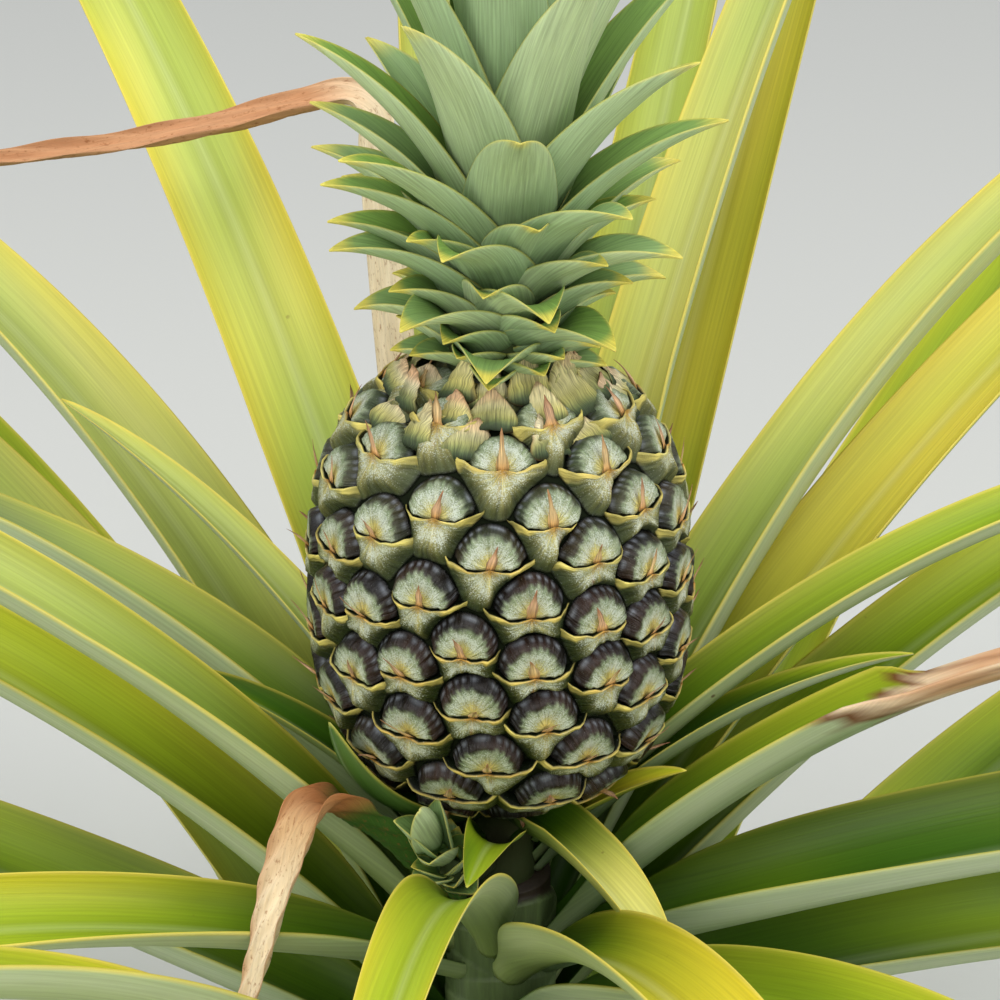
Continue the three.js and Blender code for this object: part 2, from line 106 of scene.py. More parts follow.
def make_piece(name, points, faces, material, node, attributes=None):
    """One mesh in metres from points in millimetres, in place of its node's solid.
    Attributes are per point: one column makes a number, three make hue or a vector."""
    mesh = bpy.data.meshes.new(name)
    mesh.from_pydata((np.asarray(points) * MM).tolist(), [], [list(f) for f in faces])
    for key, values in (attributes or {}).items():
        values = np.asarray(values, np.float32)
        if values.ndim == 1:
            mesh.attributes.new(key, "FLOAT", "POINT").data.foreach_set("value", values)
        elif key == "hue":
            full = np.concatenate([values, np.ones((len(values), 1), np.float32)], 1)
            made = mesh.attributes.new(key, "FLOAT_COLOR", "POINT")
            made.data.foreach_set("color", full.ravel())
        else:
            made = mesh.attributes.new(key, "FLOAT_VECTOR", "POINT")
            made.data.foreach_set("vector", values.ravel())
    mesh.materials.append(material)
    mesh.polygons.foreach_set("use_smooth", np.ones(len(mesh.polygons), bool))
    mesh.update()
    piece = bpy.data.objects.new(name, mesh)
    bpy.context.scene.collection.objects.link(piece)
    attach(piece, "root")
    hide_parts(node)


def ring_faces(rings, size):
    """Quads between rings of points, each ring with size points, which run anticlockwise
    seen from the last ring."""
    i, j = np.meshgrid(np.arange(rings - 1), np.arange(size), indexing="ij")
    a = (i * size + j).ravel()
    b = (i * size + (j + 1) % size).ravel()
    return np.stack([a, b, b + size, a + size], 1).tolist()


def capped_rings(rings, size):
    """Ring faces, and one flat face over the first ring and one over the last."""
    last = (rings - 1) * size
    return ring_faces(rings, size) + [list(range(size - 1, -1, -1)), list(range(last, last + size))]


def carrier_radius(z):
    """Radius of the stem at z, flared at its foot by the square of the distance above it,
    and of the thinner stalk above the stem's top."""
    flare = (FOOT_R - STEM_R) * np.clip(1 - z / FOOT_HEIGHT, 0, 1) ** 2
    return np.where(z > STEM_TOP, STALK_R, STEM_R + flare)


def lathe(z, radius, sides):
    """Points of a round body: radius is a row for each height z, or rows by sides."""
    turn = np.linspace(0, 2 * np.pi, sides, endpoint=False)
    radius = np.broadcast_to(np.asarray(radius).reshape(len(z), -1), (len(z), sides))
    heights = np.broadcast_to(np.asarray(z)[:, None], radius.shape)
    return np.stack([radius * np.cos(turn), radius * np.sin(turn), heights], -1).reshape(-1, 3)


sheath_skin, tree, shader = new_material("leaf sheaths on the stem")
# Clasping leaf feet, dull, pale at their upper rims and green to brown where they are
# covered. Their fibres are 0.3 mm wide, drawn 2 mm wide and 20 mm long so that they show.
hue = add(tree, "Attribute", attribute_name="hue").outputs["Color"]
place = add(tree, "TexCoord").outputs["Object"]
fibre = add(tree, "Mapping", {"Vector": place, "Scale": (1, 1, 0.1)})
grain = add(tree, "TexNoise", {"Vector": fibre.outputs[0], "Scale": 0.5 / MM, "Detail": 3})
streak = add(tree, "MapRange", {"Value": grain.outputs["Fac"], 1: 0.3, 2: 0.7, 3: 0.75, 4: 1.2})
shade = add(tree, "VectorMath", {0: hue, "Scale": streak.outputs[0]}, operation="SCALE")
tree.links.new(shade.outputs[0], shader.inputs["Base Color"])
bump = add(tree, "Bump", {"Height": grain.outputs["Fac"], "Strength": 0.4, "Distance": 0.0008})
tree.links.new(bump.outputs[0], shader.inputs["Normal"])
shader.inputs["Roughness"].default_value = 0.6

stem_bark, tree, shader = new_material("fibrous green stem")
# Fibrous skin, dull green with browner patches of 22 mm. Its fibres are 0.3 mm wide too,
# drawn 3 mm wide and 21 mm long so that they show.
place = add(tree, "TexCoord").outputs["Object"]
fibre = add(tree, "Mapping", {"Vector": place, "Scale": (1, 1, 0.15)})
grain = add(tree, "TexNoise", {"Vector": fibre.outputs[0], "Scale": 0.32 / MM, "Detail": 4})
patch = add(tree, "TexNoise", {"Vector": place, "Scale": 0.045 / MM, "Detail": 3})
colour = add(tree, "ValToRGB", {"Fac": patch.outputs["Fac"]})
colour.color_ramp.elements[0].position, colour.color_ramp.elements[1].position = 0.35, 0.65
colour.color_ramp.elements[0].color = tone("#3A4A1E")
colour.color_ramp.elements[1].color = tone("#414423")
tree.links.new(colour.outputs[0], shader.inputs["Base Color"])
bump = add(tree, "Bump", {"Height": grain.outputs["Fac"], "Strength": 0.5, "Distance": 0.001})
tree.links.new(bump.outputs[0], shader.inputs["Normal"])
shader.inputs["Roughness"].default_value = 0.75

# Each sheath stands out most along its rim, which drops to both sides as the square of the
# turn, and thins out evenly below it.
sides, rings = 120, 320
turn, z = np.meshgrid(np.linspace(0, 2 * np.pi, sides, endpoint=False), np.linspace(0, STEM_TOP, rings))
sheath = np.zeros(z.shape)
for n in range(SHEATH_COUNT):
    aside = ((turn - math.radians(GOLDEN * n) + np.pi) % (2 * np.pi) - np.pi) / SHEATH_SPREAD
    rim = SHEATH_FIRST + (SHEATH_LAST - SHEATH_FIRST) * (n + 0.5) / SHEATH_COUNT
    below = rim - SHEATH_DROP * aside ** 2 - z
    cover = np.clip(1 - aside ** 2, 0, 1) ** 0.5 * smooth(below / 1.2)
    sheath = np.maximum(sheath, cover * np.clip(1 - below / SHEATH_TALL, 0, 1))
radius = carrier_radius(np.minimum(z, STEM_TOP - 0.01)) + SHEATH_THICK * sheath - STEM_INSET
pale, green, brown = tones("#69794A", "#30481A", "#33261A")
hues = mixed(brown, mixed(green, pale, 0.7 * sheath), smooth(sheath * 1.6)).reshape(-1, 3)
make_piece("sheathed_stem", lathe(z[:, 0], radius, sides), capped_rings(rings, sides), sheath_skin,
           "stem", {"hue": hues})

# The stalk is a little wavy and widens in a collar below the fruit.
sides, rings = 40, 40
z = np.linspace(STEM_TOP - 1, STALK_TOP, rings)
radius = STALK_R - 0.4 + 0.3 * np.sin(z / 2.1) + 1.4 * smooth((z - 274) / 9)
make_piece("fruit_stalk_skin", lathe(z, radius, sides), capped_rings(rings, sides), stem_bark,
           "fruit_stalk")


# Rosette of green leaves
# Long channelled blades that clasp the stem and arch outwards: leathery, with fine
# lengthwise veins, a silvery scurf under them and a yellow line along each margin.
LEAF_LENGTH, LEAF_WIDTH = 620, 56
# Thickness as a share of the length: the solid's, which sets where the foot starts, and
# the blade's. Then the points across a blade's face.
SOLID_THICK, BLADE_THICK, BLADE_COLUMNS = 0.0102, 0.0045, 21

# A row is a leaf's azimuth, its foot's height, its pitch at foot and tip, and what differs
# from a full leaf. The solids are built from the same rows.
LEAF_ROWS = [
    # Upper leaves behind the fruit, the steepest
    (117, 196, 60, 1, dict(sweep=8, roll=21, width=43, fold=55)),
    (124, 219, 64, 10, dict(sweep=-3, roll=-31, width=46, fold=47)),
    (73, 194, 62, 34, dict(sweep=-3, roll=-3, width=42, fold=67, length=600)),
    (94, 156, 58, 27, dict(sweep=4, roll=7, width=57, fold=59)),
    (66, 181, 56, 48, dict(sweep=-4, roll=8, width=46, fold=57)),
    (65, 232, 61, 35, dict(sweep=-21, roll=-24, width=45, fold=52)),
    # Leaves to the left, from the top down
    (136, 177, 56, -12, dict(sweep=6, roll=7, width=57, fold=62)),
    (145, 255, 51, 14, dict(sweep=-3, roll=1, width=25, fold=69, length=222)),
    (139, 112, 51, -8, dict(sweep=-4, roll=-12, width=59, fold=50)),
    (163, 246, 45, -60, dict(sweep=22, roll=19, width=55, fold=70)),
    (-164, 228, 54, -4, dict(sweep=13, roll=-19, width=38, fold=70)),
    (-176, 252, 54, 23, dict(sweep=-2, roll=-12, width=25, fold=70, length=125)),
    (-177, 187, 54, -21, dict(sweep=10, roll=-12, width=50, fold=66)),
    (169, 164, 26, -20, dict(sweep=-12, roll=2, width=60, fold=62)),
    (-147, 216, 30, -41, dict(sweep=-5, roll=-21, width=40, fold=68)),
    (-121, 111, 58, -12, dict(sweep=-24, roll=8, width=44, fold=67)),
    (-143, 274, 14, 80, dict(sweep=4, roll=2, width=26, fold=58, length=85)),
    # Leaves to the right, from the top down
    (40, 218, 59, -7, dict(sweep=-19, roll=-14, width=48, fold=65)),
    (31, 205, 54, 9, dict(sweep=-9, roll=4, width=46, fold=46)),
    (10, 257, 48, -31, dict(sweep=3, roll=-3, width=34, fold=61, length=450)),
    (20, 195, 48, -17, dict(sweep=-16, width=50, fold=58)),
    (7, 251, 48, 8, dict(roll=-11, width=31, fold=59, length=150)),
    (-15, 228, 52, -29, dict(sweep=-11, roll=-7, width=51, fold=58, length=480)),
    (-15, 216, 27, -9, dict(sweep=1, roll=8, width=62, fold=68)),
    (-7, 183, 24, -31, dict(sweep=4, roll=4, width=64, fold=54)),
    (-59, 198, 35, -38, dict(width=61, fold=57)),
    (-17, 264, 45, 21, dict(roll=12, width=19, fold=62, length=62)),
    # Leaves in front, arching over and down
    (-98, 230, 50, -41, dict(sweep=-3, roll=5, width=35, fold=62, length=330)),
    (-74, 219, 41, -43, dict(sweep=12, roll=-3, width=47, fold=68, length=420)),
    (-57, 274, 10, -45, dict(sweep=5, roll=-16, width=35, fold=69, length=95)),
    (-93, 266, 36, 7, dict(sweep=-6, roll=-13, width=26, fold=70, length=110)),
    (-78, 128, 41, -19, dict(sweep=-4, roll=-2, width=56, fold=50, length=560)),
    (-114, 100, 35, -35, dict(roll=-7, width=62, fold=53, length=560)),
    (-77, 88, 30, -4, dict(sweep=-13, roll=2, width=59, fold=52, length=540)),
    (-116, 56, 19, -18, dict(sweep=12, roll=-7, width=61, fold=68, length=500)),
    # Lower and hidden leaves all round
    (94, 148, 44, 23, dict(sweep=-6, roll=-6, width=61, fold=52)),
    (90, 127, 42, 29, dict(sweep=-5, roll=-3, width=56, fold=57)),
    (59, 86, 45, 4, dict(sweep=1, roll=-5, width=51, fold=55)),
    (124, 80, 36, 9, dict(sweep=9, roll=2, width=61, fold=56)),
    (42, 63, 40, -24, dict(roll=-4, width=59, fold=56)),
    (96, 45, 24, -13, dict(sweep=4, width=58, fold=59)),
    (156, 57, 19, -10, dict(roll=4, width=61, fold=62, length=600)),
    (-153, 83, 13, -12, dict(sweep=-4, roll=2, width=67, fold=52, length=600)),
    (24, 50, 14, -11, dict(roll=5, width=60, fold=48, length=600)),
    (-31, 57, 36, -17, dict(sweep=9, roll=-3, width=63, fold=57, length=560)),
]
# How yellow each blade is, in the same order: 0 is deep green and 1 is full yellow.
YELLOWING = [
    0.46, 0.45, 0.45, 0.35, 0.58, 0.58,
    0.58, 0.52, 0.45, 0.10, 0.44, 0.10, 0.36, 0.10, 0.52, 0.52, -0.4,
    0.46, 0.72, 0.30, 0.34, 0.10, 0.02, -0.08, 0.02, 0.10, 0.50,
    0.48, 0.85, 0.55, 0.24, 0.35, 0.35, 0.35, 0.30,
    0.30, 0.30, 0.30, 0.30, 0.25, 0.25, 0.30, 0.30, 0.25, 0.30,
]
# Share of the silvery scurf on the outer face, for the blades that have little of it.
SILVER = {12: 0.5, 17: 0.1, 27: 0.4, 30: 0.3, 31: 0.3}
# Share by which the sunlit upper blades are painted paler, as painted sunlight.
SUNLIT_PALE_SHARE = {1: 0.3, 2: 0.2, 3: 0.2, 4: 0.3, 5: 0.1, 6: 0.35, 7: 0.35, 8: 0.3, 9: 0.25, 10: 0.2,
        11: 0.35, 18: 0.35, 19: 0.15, 30: 0.35}
# Millimetres from the foot, beyond which a blade is dead.
DEAD_FROM = {23: 143}
FINEST = 240  # steps of a midrib's running sum


def blade(azimuth, height, pitch0, pitch1, shape):
    """One leaf's sizes: what shape holds, over those of a full leaf."""
    return {"sweep": 0, "roll": 0, "length": LEAF_LENGTH, "width": LEAF_WIDTH, "fold": 58,
            "bend": None, "taper": 0.7, "dead": None, "azimuth": azimuth, "height": height,
            "pitch0": pitch0, "pitch1": pitch1, **shape}


def heading_of(leaf, u):
    """Pitch and heading in radians at the fraction u of the length: pitch goes from pitch0
    to pitch1 as u to the power 1.2, heading swings by sweep as u to the power 1.5, and a
    bend turns both sharply just past bend at."""
    u = np.clip(u, 0, None)
    pitch = leaf["pitch0"] + (leaf["pitch1"] - leaf["pitch0"]) * u ** 1.2
    heading = leaf["azimuth"] + leaf["sweep"] * u ** 1.5
    if leaf["bend"]:
        turn = smooth((u - leaf["bend"]["at"]) / leaf["bend"]["over"])
        pitch = pitch + leaf["bend"]["pitch"] * turn
        heading = heading + leaf["bend"]["heading"] * turn
    return np.radians(pitch), np.radians(heading)


def half_width(leaf, u):
    """Half the flat width: narrower at the foot, full soon after, running out to a point
    as the length left to the power taper. A dead end shrinks to half within 22 mm."""
    u = np.clip(u, 0, 1)
    whole = leaf["width"] / 2 * (1 - u) ** leaf["taper"] * (1 + 0.8 * u) * (1 - 0.5 * bell(u / 0.08))
    if leaf["dead"]:
        whole = whole * (1 - 0.5 * smooth((u * leaf["length"] - leaf["dead"]) / 22))
    return whole


def direction(pitch, heading):
    """The unit vector of a pitch above level and a heading, both in radians."""
    return np.stack([np.cos(pitch) * np.cos(heading), np.cos(pitch) * np.sin(heading), np.sin(pitch)], -1)


def frames_of(leaf, u, start):
    """Midrib point and the side and up directions at each u. The midrib is the running sum
    of its direction from the leaf's foot, start millimetres from the stem's axis."""
    ahead = direction(*heading_of(leaf, (np.arange(FINEST) + 0.5) / FINEST))
    way = np.vstack([np.zeros(3), np.cumsum(ahead, 0)]) * leaf["length"] / FINEST
    knots = np.arange(FINEST + 1) / FINEST
    centre = np.stack([np.interp(u, knots, way[:, k]) for k in range(3)], -1)
    first = np.radians(leaf["azimuth"])
    centre += [start * np.cos(first), start * np.sin(first), leaf["height"]]
    pitch, heading = heading_of(leaf, u)
    along = direction(pitch, heading)
    centre += along * (np.minimum(u, 0) * leaf["length"])[:, None]
    side = np.stack([-np.sin(heading), np.cos(heading), 0 * heading], -1)
    up = np.cross(along, side)
    roll = np.radians(leaf["roll"]) * np.clip(u / 0.3, 0, 1)
    c, s = np.cos(roll)[:, None], np.sin(roll)[:, None]
    return centre, side * c + up * s, up * c - side * s


def fold_of(leaf, u):
    """Half the angle that the channel bends through, closed more at the foot."""
    return np.radians(leaf["fold"]) * (1 + 0.35 * bell(u / 0.15))


def start_of(leaf):
    """Distance from the axis at which the solid leaf's foot clears what carries it, found by
    halving the range 24 times. The foot is an arc, seen from above."""
    carrier, thick = float(carrier_radius(leaf["height"])), SOLID_THICK * leaf["length"]
    centre, side, up = frames_of(leaf, np.zeros(1), 0)
    across = np.linspace(-1, 1, 41)
    fold, half = fold_of(leaf, np.zeros(1))[0], half_width(leaf, np.zeros(1))[0]
    ring = []
    for depth in (0, 0.45 * thick):
        radius = half / fold
        turn = fold * across
        ring.append(centre + side * ((radius + depth) * np.sin(turn))[:, None]
                    + up * (radius - (radius + depth) * np.cos(turn))[:, None])
    ring = np.vstack(ring)[:, :2]
    first = np.radians(leaf["azimuth"])
    outward = np.array([np.cos(first), np.sin(first)])
    low, high = 0.0, carrier + 60
    for _ in range(24):
        middle = (low + high) / 2
        least = np.hypot(*(ring + outward * middle).T).min()
        low, high = (middle, high) if least < carrier + GAP + 0.05 else (low, middle)
    return high


def blade_shell(leaf, start, stations, columns, thick, ripple=0.0):
    """A closed leaf: rings of an inner face from margin to margin and an outer face back.

    The section is an arc through the fold angle, radius half width over that angle, and
    the outer face lies deeper by the thickness, which falls as the square of the way to
    the margins. Ripple is the height of crinkles, two crossed sine waves.
    Returns points, faces, and the place of each point as across, along and outer.
    """
    u = stations
    centre, side, up = frames_of(leaf, u, start)
    half, fold = half_width(leaf, u), fold_of(leaf, u)
    closer = np.pi / 2 * 0.92  # points lie closer together near the margins, as a sine does
    inner = np.sin(np.linspace(-1, 1, columns) * closer) / math.sin(closer)
    across = np.concatenate([inner, inner[-2:0:-1]])
    outer = np.concatenate([np.zeros(columns), np.ones(columns - 2)])
    swell = thick * np.minimum(np.minimum(1, 0.45 + 4 * u.clip(0)), 0.2 + 2.5 * (1 - u))
    depth = outer * (1 - 0.75 * across ** 2) * swell[:, None]
    lift = ripple * np.sin(across * 7 + u[:, None] * 31) * np.sin(u[:, None] * 57 + across * 3)
    turn = fold[:, None] * across
    radius = (half / fold)[:, None]
    points = (centre[:, None] + side[:, None] * ((radius + depth) * np.sin(turn))[..., None]
              + up[:, None] * (radius - (radius + depth) * np.cos(turn) + lift)[..., None])
    size = len(across)
    faces = [f[::-1] for f in ring_faces(len(u), size)]
    for k in range(columns - 1):
        low, back = (size - k) % size, size - k - 1
        ends = list(dict.fromkeys([k, k + 1, back, low]))  # a triangle at either margin
        faces += [ends, [n + (len(u) - 1) * size for n in ends[::-1]]]
    spot = np.stack(np.broadcast_arrays(across[None], u[:, None], outer[None]), -1)
    return points.reshape(-1, 3), faces, spot.reshape(-1, 3)


# Painted sunlight: the pale tint that sunlit blades are painted with.
PAINTED_SUNLIGHT_TINT = tone("#CBCF9E")[:3]
DEEP, MID, LIGHT, YELLOW, GOLD = tones("#375F0E", "#84A016", "#B5C02E", "#DCC531", "#E0CC58")
# The pale scurf tone also paints a sheen along each leaf's crease.
SCURF, SCURF_DARK, PALE_SCURF_AND_SHEEN = tones("#AAB78E", "#8C9F70", "#C6CEB0")
TAN, STRAW, BROWN, RUST = tones("#CDA878", "#E6D6B4", "#6E4526", "#B5713A")


def blade_hues(leaf, spot, yellowing, seed, silver, pale):
    """A leaf's colours: the inner face goes from deep green at the foot through mid green
    to the leaf's own yellow, in long soft patches that sines give, and more so near the
    margins; beside the crease it is painted darker as shade, and a pale line along the
    crease is a painted sheen; the outer face is silvery grey by the share silver and
    painted darker at the foot as shade; the whole is painted paler by the share pale as
    painted sunlight, and a gold line follows each margin."""
    across, u, outer = spot.T
    along = u * leaf["length"]
    wave = np.sin(along / 61 + 1.9 * seed) * 0.5 + np.sin(along / 23 + 2.3 * seed + across * 2) * 0.3
    cross = np.sin(across * 3.1 + seed + along / 90) * 0.5
    ripe = np.clip(yellowing + 0.26 * wave + 0.16 * cross, -0.15, 1)
    green = min(1.0, leaf["length"] / 420)
    young = mixed(DEEP, MID, smooth(along / (240 * green)) * smooth((ripe + 0.2) / 0.3))
    full = mixed(DEEP, MID, smooth((ripe + 0.12) / 0.3))
    full = mixed(full, LIGHT, np.clip(ripe * 1.5 - 0.1, 0, 1))
    full = mixed(full, YELLOW, smooth((ripe - 0.42) / 0.5) * 0.9)
    # Painted sunlight: the blade is painted paler by the share pale.
    full = mixed(full, PAINTED_SUNLIGHT_TINT, pale + 0 * u)
    inner = mixed(young, full, smooth((along / green - 50) / 200))
    rim = np.abs(across) ** 3 * (0.2 + 0.5 * ripe) * smooth(along / 150)
    inner = mixed(inner, YELLOW, rim)
    # Painted shade: darker on both sides of the crease, down in the channel.
    inner = inner * (1 - 0.22 * bell((np.abs(across) - 0.09) / 0.07))[:, None]
    # Painted sheen: a pale line along the crease.
    inner = mixed(inner, PALE_SCURF_AND_SHEEN, 0.16 * bell(across / 0.05))
    back = mixed(SCURF, SCURF_DARK, 0.4 + 0.4 * wave)
    back = mixed(back, PALE_SCURF_AND_SHEEN, 0.5 * bell((np.abs(across) - 0.75) / 0.2))
    # Painted shade: the outer face is darker towards the foot, deep in the rosette.
    back = mixed(back, DEEP, 0.5 * smooth((95 - along) / 70))
    back = mixed(inner, mixed(back, LIGHT, 0.30 * ripe), silver + 0 * u)
    hues = np.where(outer[:, None] > 0.5, back, inner)
    flat = half_width(leaf, u) * (1 - np.abs(across))
    line = smooth((1.1 - flat) / 0.7) * smooth((along / green - 25) / 90)
    return mixed(hues, GOLD, line * (0.5 + 0.4 * ripe))


def dead_end(leaf, spot, hues):
    """Beyond where the blade died: a ragged brown edge, then straw streaked with rust."""
    across, u, _ = spot.T
    along = u * leaf["length"] + 9 * np.sin(across * 5) + 5 * np.sin(across * 17)
    past = along - leaf["dead"]
    hues = mixed(hues, BROWN, smooth(past / 5))
    hues = mixed(hues, mixed(STRAW, RUST, 0.4 + 0.3 * np.sin(along / 13)), smooth((past - 6) / 10))
    return mixed(hues, BROWN, 0.6 * smooth((past - 6) / 10) * bell(np.sin(across * 6 + along / 40) / 0.35))


def weave_of(leaf, spot, layer):
    """Where each point lies on the flattened leaf in millimetres, across and along. The
    third number, layer, sets leaves and their two faces apart in a pattern."""
    across, u, _ = spot.T
    return np.stack([across * half_width(leaf, u), u * leaf["length"], layer + 0 * u], 1)


def stations_of(leaf, count):
    """Even stations and one below the foot, and closer ones through a bend."""
    u = [np.linspace(0, 0.996, count), [-0.012]]
    if leaf["bend"]:
        at, over = leaf["bend"]["at"], leaf["bend"]["over"]
        u.append(np.linspace(at - 0.01, at + over + 0.01, 24))
    return np.unique(np.round(np.concatenate(u), 4))


def veined_material(name, wide, long, detail, coarse, streaks, relief, spread=(0.3, 0.7)):
    """A skin with fibres along the piece's weave, wide and long in millimetres: a noise,
    over its spread, scales the piece's hue from the first share in streaks to the second,
    and raises it by relief, a strength and a height in metres.
    Also gives the streaked colour and the weave, for more on top."""
    material, tree, shader = new_material(name)
    hue = add(tree, "Attribute", attribute_name="hue").outputs["Color"]
    spot = add(tree, "Attribute", attribute_name="weave").outputs["Vector"]
    fibre = add(tree, "Mapping", {"Vector": spot, "Scale": (1 / wide, 1 / long, 1)})
    fine = add(tree, "TexNoise", {"Vector": fibre.outputs[0], "Scale": 1.0, "Detail": detail,
                                  "Roughness": coarse})
    streak = add(tree, "MapRange", {"Value": fine.outputs["Fac"], 1: spread[0], 2: spread[1],
                                    3: streaks[0], 4: streaks[1]})
    shade = add(tree, "VectorMath", {0: hue, "Scale": streak.outputs[0]}, operation="SCALE")
    bump = add(tree, "Bump", {"Height": fine.outputs["Fac"], "Strength": relief[0], "Distance": relief[1]})
    tree.links.new(shade.outputs[0], shader.inputs["Base Color"])
    tree.links.new(bump.outputs[0], shader.inputs["Normal"])
    return material, tree, shader, shade.outputs[0], spot


leaf_skin, tree, shader, streaked, spot = veined_material(
    "waxy pineapple leaf", wide=0.909, long=83.3, detail=3, coarse=0.6, streaks=(0.88, 1.12),
    relief=(0.2, 0.0005))
# Living leaf: a waxy skin over parallel veins about 0.9 mm apart, drawn as fine lengthwise
# streaks and a shallow relief. A few brown flecks of 1 to 2 mm lie on it, on cells of
# 18 mm, and only in some patches of 50 mm.
flecks = add(tree, "TexVoronoi", {"Vector": spot, "Scale": 1 / 18.18, "Randomness": 1.0})
chance = add(tree, "TexNoise", {"Vector": spot, "Scale": 1 / 50})
near = add(tree, "MapRange", {"Value": flecks.outputs["Distance"], 1: 0.03, 2: 0.055, 3: 1.0, 4: 0.0})
rare = add(tree, "MapRange", {"Value": chance.outputs["Fac"], 1: 0.56, 2: 0.6, 3: 0.0, 4: 0.8})
spots = add(tree, "Math", {0: near.outputs[0], 1: rare.outputs[0]}, operation="MULTIPLY")
colour = add(tree, "Mix", {0: spots.outputs[0], 6: streaked, 7: tone("#5F4420")}, data_type="RGBA")
tree.links.new(colour.outputs[2], shader.inputs["Base Color"])
shader.inputs["Roughness"].default_value = 0.42
shader.inputs["Specular IOR Level"].default_value = 0.3
shader.inputs["Subsurface Weight"].default_value = 0.08
shader.inputs["Subsurface Radius"].default_value = (0.004, 0.006, 0.001)

for number, row in enumerate(LEAF_ROWS, 1):
    leaf = blade(*row)
    leaf["dead"] = DEAD_FROM.get(number)
    stations = stations_of(leaf, int(24 + leaf["length"] / 9))
    points, faces, spot = blade_shell(leaf, start_of(leaf), stations, BLADE_COLUMNS,
                                      BLADE_THICK * leaf["length"])
    hues = blade_hues(leaf, spot, YELLOWING[number - 1], number, SILVER.get(number, 1.0),
                      SUNLIT_PALE_SHARE.get(number, 0.0))
    if leaf["dead"]:
        hues = dead_end(leaf, spot, hues)
    make_piece(f"blade_{number:02d}", points, faces, leaf_skin, f"leaf_{number:02d}",
               {"hue": hues, "weave": weave_of(leaf, spot, 40 * spot[:, 2] + 97 * number)})


# Dry leaves
# Two dead leaves hang folded on the plant. They are papery and crinkled, straw-coloured
# with brown and rust where they folded.
DRY_ROWS = {
    "dry_leaf_front": (-142, 247, 49, 34, dict(sweep=1, roll=7, width=24, fold=70, length=215,
                       bend=dict(at=0.3, over=0.12, pitch=-95, heading=22))),
    "dry_leaf_back": (108, 207, 57, 101, dict(sweep=7, roll=-18, width=25, fold=70, length=520,
                      bend=dict(at=0.55, over=0.06, pitch=-92, heading=85))),
}
PAPER_THICK, CRINKLE, PAPER_STATIONS = 0.8, 1.3, 110
# The front leaf has run out to a thread before its solid ends, so its blade is made shorter.
FRONT_LENGTH, FRONT_TAPER, FRONT_WIDER, BACK_NARROWER = 185, 1.15, 1.25, 0.8

paper, tree, shader, streaked, spot = veined_material(
    "dry papery leaf", wide=0.909, long=20, detail=4, coarse=0.6, streaks=(0.84, 1.12),
    relief=(0.5, 0.001))
# Dead leaf tissue, dull and a little ragged: straw, with the leaf's fibres 0.9 mm apart and
# brown flecks about 1 mm wide and 3 mm long between them.
flecked = add(tree, "Mapping", {"Vector": spot, "Scale": (1 / 1.111, 1 / 3.333, 1)})
blotch = add(tree, "TexNoise", {"Vector": flecked.outputs[0], "Scale": 1.0, "Detail": 5, "Roughness": 0.7})
dark = add(tree, "MapRange", {"Value": blotch.outputs["Fac"], 1: 0.55, 2: 0.66, 3: 0.0, 4: 0.7})
colour = add(tree, "Mix", {0: dark.outputs[0], 6: streaked, 7: tone("#8A5528")}, data_type="RGBA")
tree.links.new(colour.outputs[2], shader.inputs["Base Color"])
shader.inputs["Roughness"].default_value = 0.8

for number, (node, row) in enumerate(DRY_ROWS.items(), 1):
    leaf = blade(*row)
    start, bend = start_of(leaf), leaf["bend"]
    if node == "dry_leaf_front":
        trim = leaf["length"] / FRONT_LENGTH
        bend = dict(bend, at=bend["at"] * trim, over=bend["over"] * trim)
        leaf.update(bend=bend, taper=FRONT_TAPER, width=leaf["width"] * FRONT_WIDER, length=FRONT_LENGTH)
    else:
        leaf.update(width=leaf["width"] * BACK_NARROWER)
    points, faces, spot = blade_shell(
        leaf, start, stations_of(leaf, PAPER_STATIONS), BLADE_COLUMNS, PAPER_THICK, CRINKLE)
    after = spot[:, 1] - bend["at"]
    if node == "dry_leaf_front":
        # Still green below the fold, brown along it, and paler as it hangs
        fold_tone = mixed(RUST, BROWN, 0.4)
        hues = mixed(np.broadcast_to(DEEP, spot.shape), fold_tone, smooth((after + 0.03) / 0.08))
        hues = mixed(hues, TAN, smooth((after - 0.04) / 0.10))
        hues = mixed(hues, STRAW, smooth((after - 0.10) / 0.15) * 0.8)
        hues = mixed(hues, RUST, (np.abs(spot[:, 0]) ** 5) * 0.6 * smooth((after + 0.05) / 0.1))
    else:
        # Straw below the fold, rusty beyond it and brown towards the tip
        hues = mixed(np.broadcast_to(STRAW, spot.shape), RUST, smooth(after / bend["over"] - 0.2) * 0.8)
        hues = mixed(hues, BROWN, smooth((after - 0.25) / 0.3) * 0.7)
    make_piece(f"papery_leaf_{number}", points, faces, paper, node,
               {"hue": hues, "weave": weave_of(leaf, spot, 40 * spot[:, 2] + 53 * number)})


# Fruit
# The rind is about a hundred fruitlets, fused and packed in spirals. Each is a flattened
# dome with a dark wrinkled rim, over a bract whose yellow edge carries a papery point.
FRUIT_MID, FRUIT_R, FRUIT_HALF, FRUIT_POWER = 361.0, 62.5, 77.0, 2.6
EYE_COUNT, EYE_CLEAR, EYE_REACH, EYE_STEP, EYE_ROUNDS = 120, 17, 32, 2, 60
NEIGHBOUR_FAR = 52  # beyond which another fruitlet has no part in one's outline
LEAST_R = 14  # the rind's radius is taken as at least this where it turns a width into an angle
DOME_WIDE, DOME_TALL = 12.6, 14.6  # half-axes of a dome's outline
SLIT = math.radians(6)  # between the ends of a dome and its bract
CORE_INSET = 3.2  # of the dark skin under the creases
